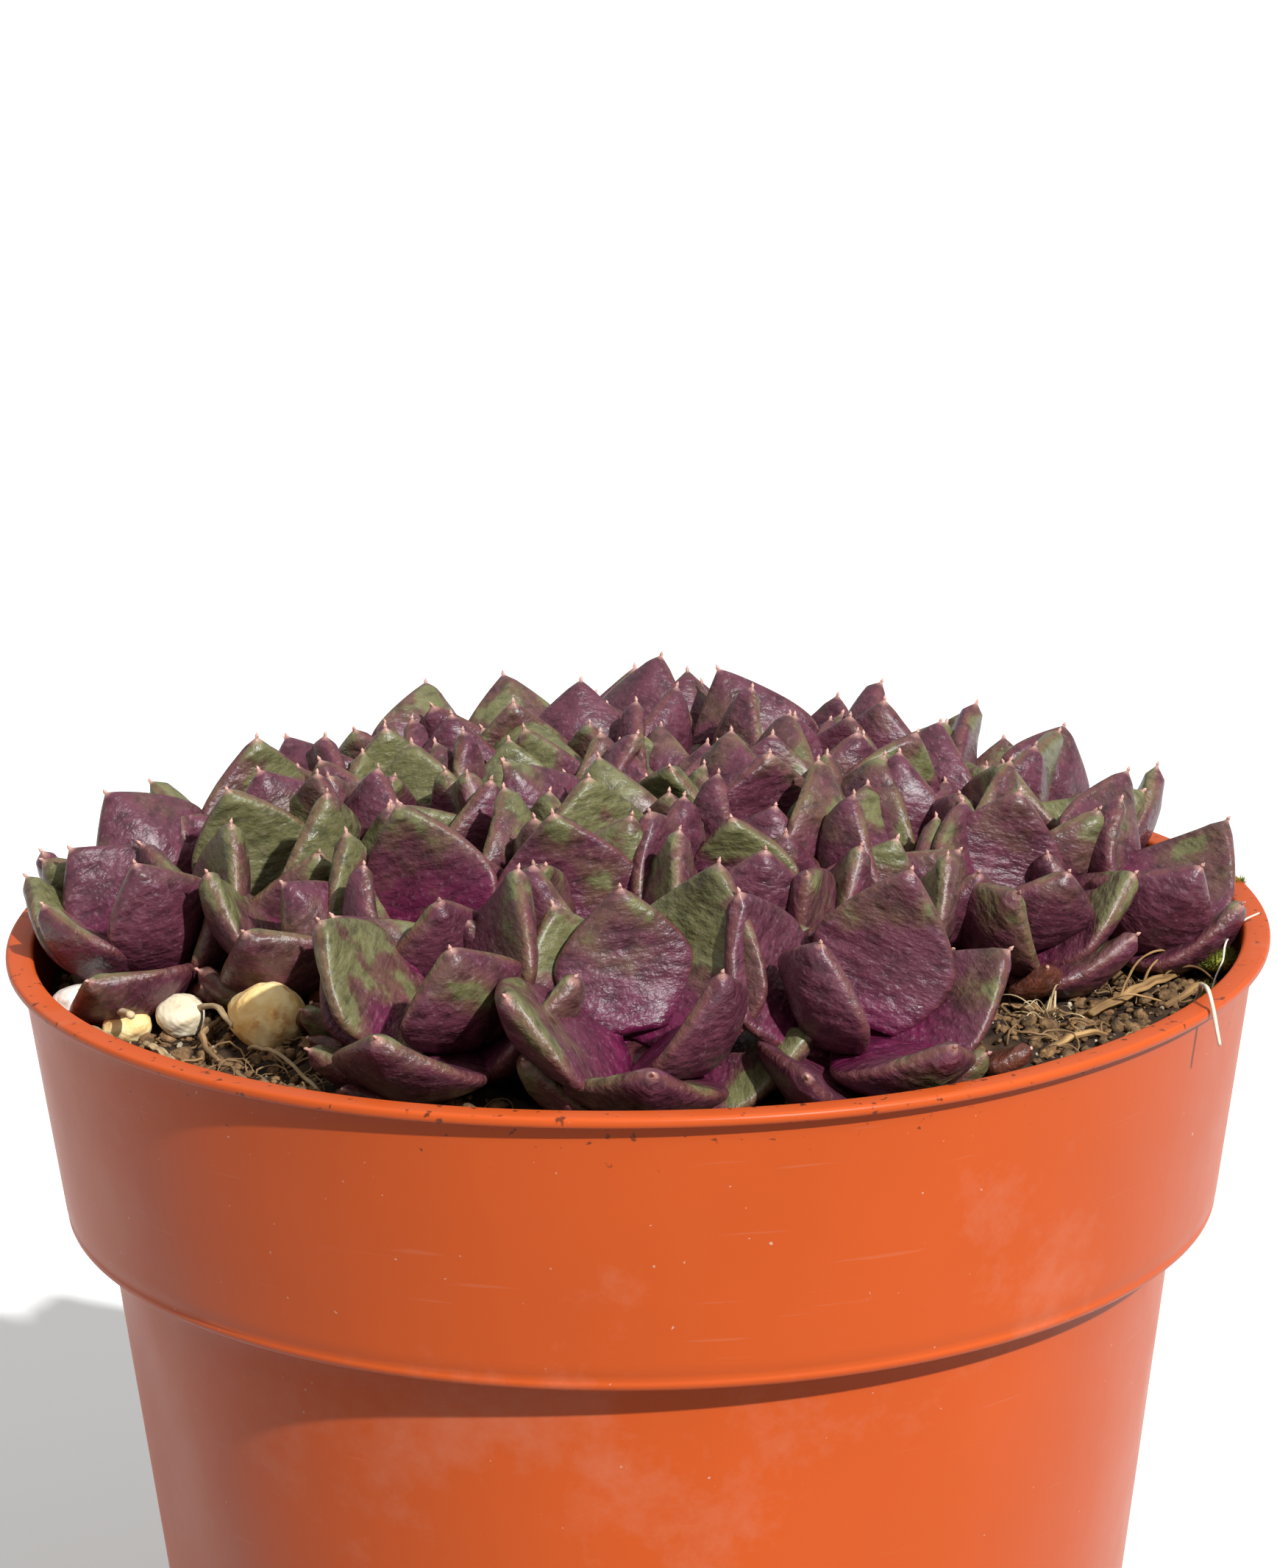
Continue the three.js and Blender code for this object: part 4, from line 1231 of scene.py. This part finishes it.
# Fine threads: name, radius, points (x, y, height over the soil), colour name
THREADS = (
    ("root_hair_1", 0.11, ((41, -10, 1.4), (43.2, -6.2, 3), (46, -3, 2.2), (48.3, 0.5, 2.6)), "root"),
    ("root_hair_2", 0.09, ((43, -7, 1.4), (45.5, -6.6, 2.6), (47.5, -8.2, 1.8)), "root"),
    ("root_hair_3", 0.09, ((38, -13, 1), (40, -13.6, 2), (42.5, -12, 1)), "root"),
    ("root_hair_4", 0.1, ((39, -12.5, 1.1), (41.4, -7.6, 3.2), (44.5, -4.4, 3.4), (46.8, -0.5, 4.4)), "root"),
    ("seed_thread", 0.08, ((46.6, -10, 1.2), (48, -7.5, 3.4), (49.2, -5, 5.4), (51.6, -3, 6.1)), "thread"),
    ("tangle_1", 0.1, ((-17, -42, 1), (-15.6, -43.6, 2), (-14.4, -42, 1.5), (-15.8, -41.4, 1)), "thread"),
    ("tangle_2", 0.09, ((-16.4, -43.6, 1), (-15, -42.3, 2.4), (-13.8, -43.6, 1), (-13, -42.4, 1)), "thread"),
    ("tangle_3", 0.08, ((-17.4, -43, 1), (-15.8, -42.6, 2.6), (-14.2, -44, 1.4), (-12.6, -43, 1)), "thread"),
    ("straw_left", 0.36, ((-45.4, -8.6, 1.4), (-43.4, -12.8, 2.7), (-40.8, -18, 3)), "straw"),
    ("straw_back", 0.24, ((-36.2, -13.4, 1), (-34.2, -16.6, 2.6), (-32.4, -20.6, 2.2)), "straw"),
    ("straw_front", 0.16, ((-31, -22.4, 0.8), (-28.4, -27.6, 2.2), (-24.8, -33, 0.8)), "straw"),
    ("root_front", 0.14, ((28, -34, 0.7), (31.4, -31.6, 1.6), (35.5, -27.8, 0.7)), "root"),
)

TUFT_PLACE = (33, -17)
TUFT_STRAWS = 16


def fibre_finishes():
    return {
        "straw": dry_fibre("dry_straw", linear("#8a6f48"), linear("#e2cba0")),
        "twig": dry_fibre("dry_twig", linear("#5a412a"), linear("#b08e62"), 0.8),
        "root": dry_fibre("dry_root", linear("#6a4a2c"), linear("#c29c66"), 0.65),
        "thread": dry_fibre("pale_thread", linear("#b9aa90"), linear("#efe6d4"), 0.6),
    }


class SUCCULENT_OT_strands(bpy.types.Operator):
    """Builds the straws, twigs, roots and threads on the soil"""

    bl_idname = "succulent.strands"
    bl_label = "Straws and roots"

    def execute(self, context):
        finishes = fibre_finishes()
        for i, (node, diameter, points, kind) in enumerate(STRANDS):
            path = strand_path(points, 64)
            share = np.linspace(0, 1, len(path))
            knots = 1 + 0.12 * ripple(path, 3.5, 40 + i) + 0.08 * ripple(path, 1.2, 60 + i)
            slim = 0.68 if kind == "twig" else 0.9
            radii = slim * diameter / 2 * knots
            radii = radii * (0.45 + 0.55 * np.sin(math.pi * (0.06 + 0.9 * share)) ** 0.4)
            path = path + 0.12 * np.stack([ripple(path, 2.6, 70 + i + k) for k in range(3)], -1)
            look = {"groove": 0.09, "flatten": 0.7}
            strand_piece(f"{node}_fibre", path, radii, 18, finishes[kind], [node], i, **look)
        path = strand_path(HANGING_ROOT, 60, over_soil=False)
        radii = 0.16 + 0.04 * ripple(path, 3, 5)
        strand_piece("root_hanging_fibre", path, radii, 10, finishes["thread"], ["root_hanging"])
        for i, (name, radius, points, kind) in enumerate(THREADS):
            path = strand_path(points, 36)
            path = path + 0.15 * np.stack([ripple(path, 3.1, 90 + 3 * i + k) for k in range(3)], -1)
            radii = radius * (1 + 0.15 * ripple(path, 2, i))
            strand_piece(name, path, radii, 8, finishes[kind], seed=i)
        self.straw_tuft(finishes["straw"])
        return {"FINISHED"}

    def straw_tuft(self, finish):
        draw = np.random.default_rng(17)
        x0, y0 = TUFT_PLACE
        straws = []
        for i in range(TUFT_STRAWS):
            heading = math.radians(200 + 140 * draw.uniform(-1, 1))
            length = draw.uniform(1.8, 4.2)
            u = np.linspace(0, 1, 10)
            x = x0 + draw.uniform(-0.6, 0.6) + length * u * math.cos(heading)
            y = y0 + draw.uniform(-0.6, 0.6) + length * u * math.sin(heading)
            z = soil_height(x0, y0) - 0.2 + draw.uniform(0.8, 3.2) * np.sin(u * math.pi * 0.62)
            shape = tube(np.stack([x, y, z], -1), draw.uniform(0.06, 0.17) * (1 - 0.5 * u), 7, 0.1, 0.5, i)
            straws.append(strand_values(shape, 10, 7, i))
        shape, values = joined_strands(straws)
        add_piece("straw_tuft", shape, finish, (), values)


# colour name, material slot, material name, dark, light and stained colours
STONE_FINISHES = (
    ("white", "stone_pale", "white_limestone", "#cfcac0", "#f3f0e8", "#9a8d7a"),
    ("cream", "stone_pale", "cream_limestone", "#d9c7a0", "#f4ead2", "#a98a55"),
    ("yellow", "stone_yellow", "yellow_quartz", "#efba55", "#fbe6ae", "#c8792c"),
)


class SUCCULENT_OT_stones(bpy.types.Operator):
    """Builds the pale stones on the soil"""

    bl_idname = "succulent.stones"
    bl_label = "Stones"

    def execute(self, context):
        finishes = {
            kind: (slot, stone_skin(name, linear(low), linear(high), linear(vein)))
            for kind, slot, name, low, high, vein in STONE_FINISHES
        }
        for i, (node, (x, y), radius, squash, kind) in enumerate(STONES):
            draw = np.random.default_rng(300 + i)
            points, faces = lump(5)
            points = points * (1 + 0.17 * ripple(points, 1.9, 310 + i))[:, None]
            for _ in range(4):
                # A chipped facet: everything past a plane is pressed back to it
                way = draw.normal(size=3)
                way /= np.linalg.norm(way)
                past = np.clip(points @ way - draw.uniform(0.72, 0.9), 0, None)
                points = points - past[:, None] * way * 0.45
            pitted = 0.035 * ripple(points, 0.7, 320 + i) + 0.015 * ripple(points, 0.25, 330 + i)
            points = points * (1 + pitted)[:, None]
            points = points * (radius * 1.32, radius * 1.32, radius * squash * 1.4)
            points = points + (x, y, soil_height(x, y) + radius * squash * 0.8)
            slot, finish = finishes[kind]
            add_piece(f"{node}_chip", (points, faces), finish, [node])
        return {"FINISHED"}


# Tufts of moss: (x, y, height over the soil, radius, leaflets)
MOSS_TUFTS = (
    (45.2, 11.5, 0.6, 2.3, 620),
    (46.6, 6.8, 0.3, 1.4, 260),
    (48, 1.2, 0.9, 1.5, 280),
    (43.4, 14.6, 0.4, 1.7, 300),
    (51.2, 9.2, 5.2, 0.55, 60),
    (48.6, 17.8, 5.3, 0.7, 80),
    (47.6, -4.4, 2.6, 2.1, 470),
    (47, -8.8, 0.9, 1.2, 230),
)


class SUCCULENT_OT_moss(bpy.types.Operator):
    """Builds the moss at the wall and its bits on the lip"""

    bl_idname = "succulent.moss"
    bl_label = "Moss"

    def execute(self, context):
        draw = np.random.default_rng(8)
        parts = []
        ball, ball_faces = lump(3)
        for x, y, over, radius, leaflets in MOSS_TUFTS:
            centre = np.array([x, y, soil_height(x, y) + over])
            rough = 1 + 0.18 * ripple(ball * radius, 1.3, int(radius * 100))
            heart = ball * rough[:, None] * (radius * 0.8, radius * 0.8, radius * 0.45)
            parts.append((heart + centre, ball_faces))
            for _ in range(leaflets):
                way = draw.normal(size=3)
                way[2] = abs(way[2]) * 0.9 - 0.1
                way /= np.linalg.norm(way)
                foot = centre + way * (radius * 0.78, radius * 0.78, radius * 0.43)
                lean = way + draw.normal(size=3) * 0.45
                lean /= np.linalg.norm(lean)
                length = draw.uniform(0.35, 0.8)
                u = np.linspace(0, 1, 5)
                path = foot + lean * (length * u)[:, None] + (0, 0, 0.15) * (u**2)[:, None]
                parts.append(tube(path, 0.075 * (1.05 - u), 5, flatten=0.4))
        finish = moss_green(context.scene.succulent_ground)
        add_piece("moss_cushions", joined(parts), finish, ["moss_tuft"])
        return {"FINISHED"}


# ---------------------------------------------------------------- stage

CAMERA_PLACE = Vector((0.27, -422.3, 213.6)) * MM
CAMERA_PITCH = math.radians(-14.84)
CAMERA_ROLL = math.radians(-0.85)
CAMERA_LENS = 121.06
KEY_DIRECTION = Vector((0.43, -0.66, 0.62))
KEY_SPREAD = math.radians(1.5)
OVERHEAD = 0.5
FLOOR_REACH = 30


class SUCCULENT_OT_stage(bpy.types.Operator):
    """Builds the plain floor, the soft light and the camera"""

    bl_idname = "succulent.stage"
    bl_label = "Stage"

    def execute(self, context):
        scene = context.scene
        settings = scene.succulent_stage
        mesh = bpy.data.meshes.new("floor")
        corners = [(FLOOR_REACH * a, FLOOR_REACH * b, 0) for a, b in ((-1, -1), (1, -1), (1, 1), (-1, 1))]
        mesh.from_pydata(corners, [], [(0, 1, 2, 3)])
        mesh.materials.append(plain_floor(settings))
        floor = bpy.data.objects.new("floor", mesh)
        scene.collection.objects.link(floor)
        # Light thrown up by the card would wash out the plastic's colour
        floor.visible_diffuse = False

        world = bpy.data.worlds.new("even_fill")
        world.use_nodes = True
        tree = world.node_tree
        tree.nodes.clear()
        above = add_node(tree, "ShaderNodeTexCoord", out="Generated")
        above = add_node(tree, "ShaderNodeSeparateXYZ", {"Vector": above}, out="Z")
        limits = {"Value": above, "To Min": settings.sky, "To Max": settings.sky + OVERHEAD}
        strength = add_node(tree, "ShaderNodeMapRange", limits)
        fill = add_node(tree, "ShaderNodeBackground", {"Color": (1, 1, 1, 1), "Strength": strength})
        add_node(tree, "ShaderNodeOutputWorld", {"Surface": fill})
        scene.world = world

        key = bpy.data.lights.new("key", "SUN")
        key.energy = settings.sun
        key.angle = KEY_SPREAD
        lamp = bpy.data.objects.new("key", key)
        lamp.rotation_mode = "QUATERNION"
        lamp.rotation_quaternion = KEY_DIRECTION.to_track_quat("Z", "Y")
        scene.collection.objects.link(lamp)

        camera = bpy.data.cameras.new("camera")
        camera.lens = CAMERA_LENS
        camera.sensor_width = 36
        camera.clip_start = 0.01
        camera.clip_end = 100
        holder = bpy.data.objects.new("camera", camera)
        look = Matrix.Rotation(math.pi / 2 + CAMERA_PITCH, 4, "X") @ Matrix.Rotation(CAMERA_ROLL, 4, "Z")
        holder.matrix_world = Matrix.Translation(CAMERA_PLACE) @ look
        scene.collection.objects.link(holder)
        scene.camera = holder
        scene.view_settings.view_transform = "Standard"
        return {"FINISHED"}


# ---------------------------------------------------------------- panel and registration

BUILD_ORDER = ("stage", "pot", "soil", "rosettes", "husks", "stones", "strands", "moss", "crumbs")


class SUCCULENT_PT_panel(bpy.types.Panel):
    bl_label = "Potted succulent"
    bl_idname = "SUCCULENT_PT_panel"
    bl_space_type = "VIEW_3D"
    bl_region_type = "UI"
    bl_category = "Succulent"

    def draw(self, context):
        for name in BUILD_ORDER:
            self.layout.operator(f"succulent.{name}")
        scene = context.scene
        for name in SETTINGS:
            group = getattr(scene, name)
            box = self.layout.box()
            for key in group.__annotations__:
                box.prop(group, key)


SETTINGS = {
    "succulent_pot": PotSettings,
    "succulent_plant": PlantSettings,
    "succulent_ground": GroundSettings,
    "succulent_stage": StageSettings,
}
CLASSES = (
    SUCCULENT_OT_stage,
    SUCCULENT_OT_pot,
    SUCCULENT_OT_soil,
    SUCCULENT_OT_rosettes,
    SUCCULENT_OT_husks,
    SUCCULENT_OT_stones,
    SUCCULENT_OT_strands,
    SUCCULENT_OT_moss,
    SUCCULENT_OT_crumbs,
    SUCCULENT_PT_panel,
)


def register():
    for name, group in SETTINGS.items():
        bpy.utils.register_class(group)
        setattr(bpy.types.Scene, name, PointerProperty(type=group))
    for one in CLASSES:
        bpy.utils.register_class(one)


def unregister():
    for one in reversed(CLASSES):
        bpy.utils.unregister_class(one)
    for name, group in SETTINGS.items():
        delattr(bpy.types.Scene, name)
        bpy.utils.unregister_class(group)


def main():
    register()
    for name in BUILD_ORDER:
        getattr(bpy.ops.succulent, name)()


if __name__ == "__main__":
    main()
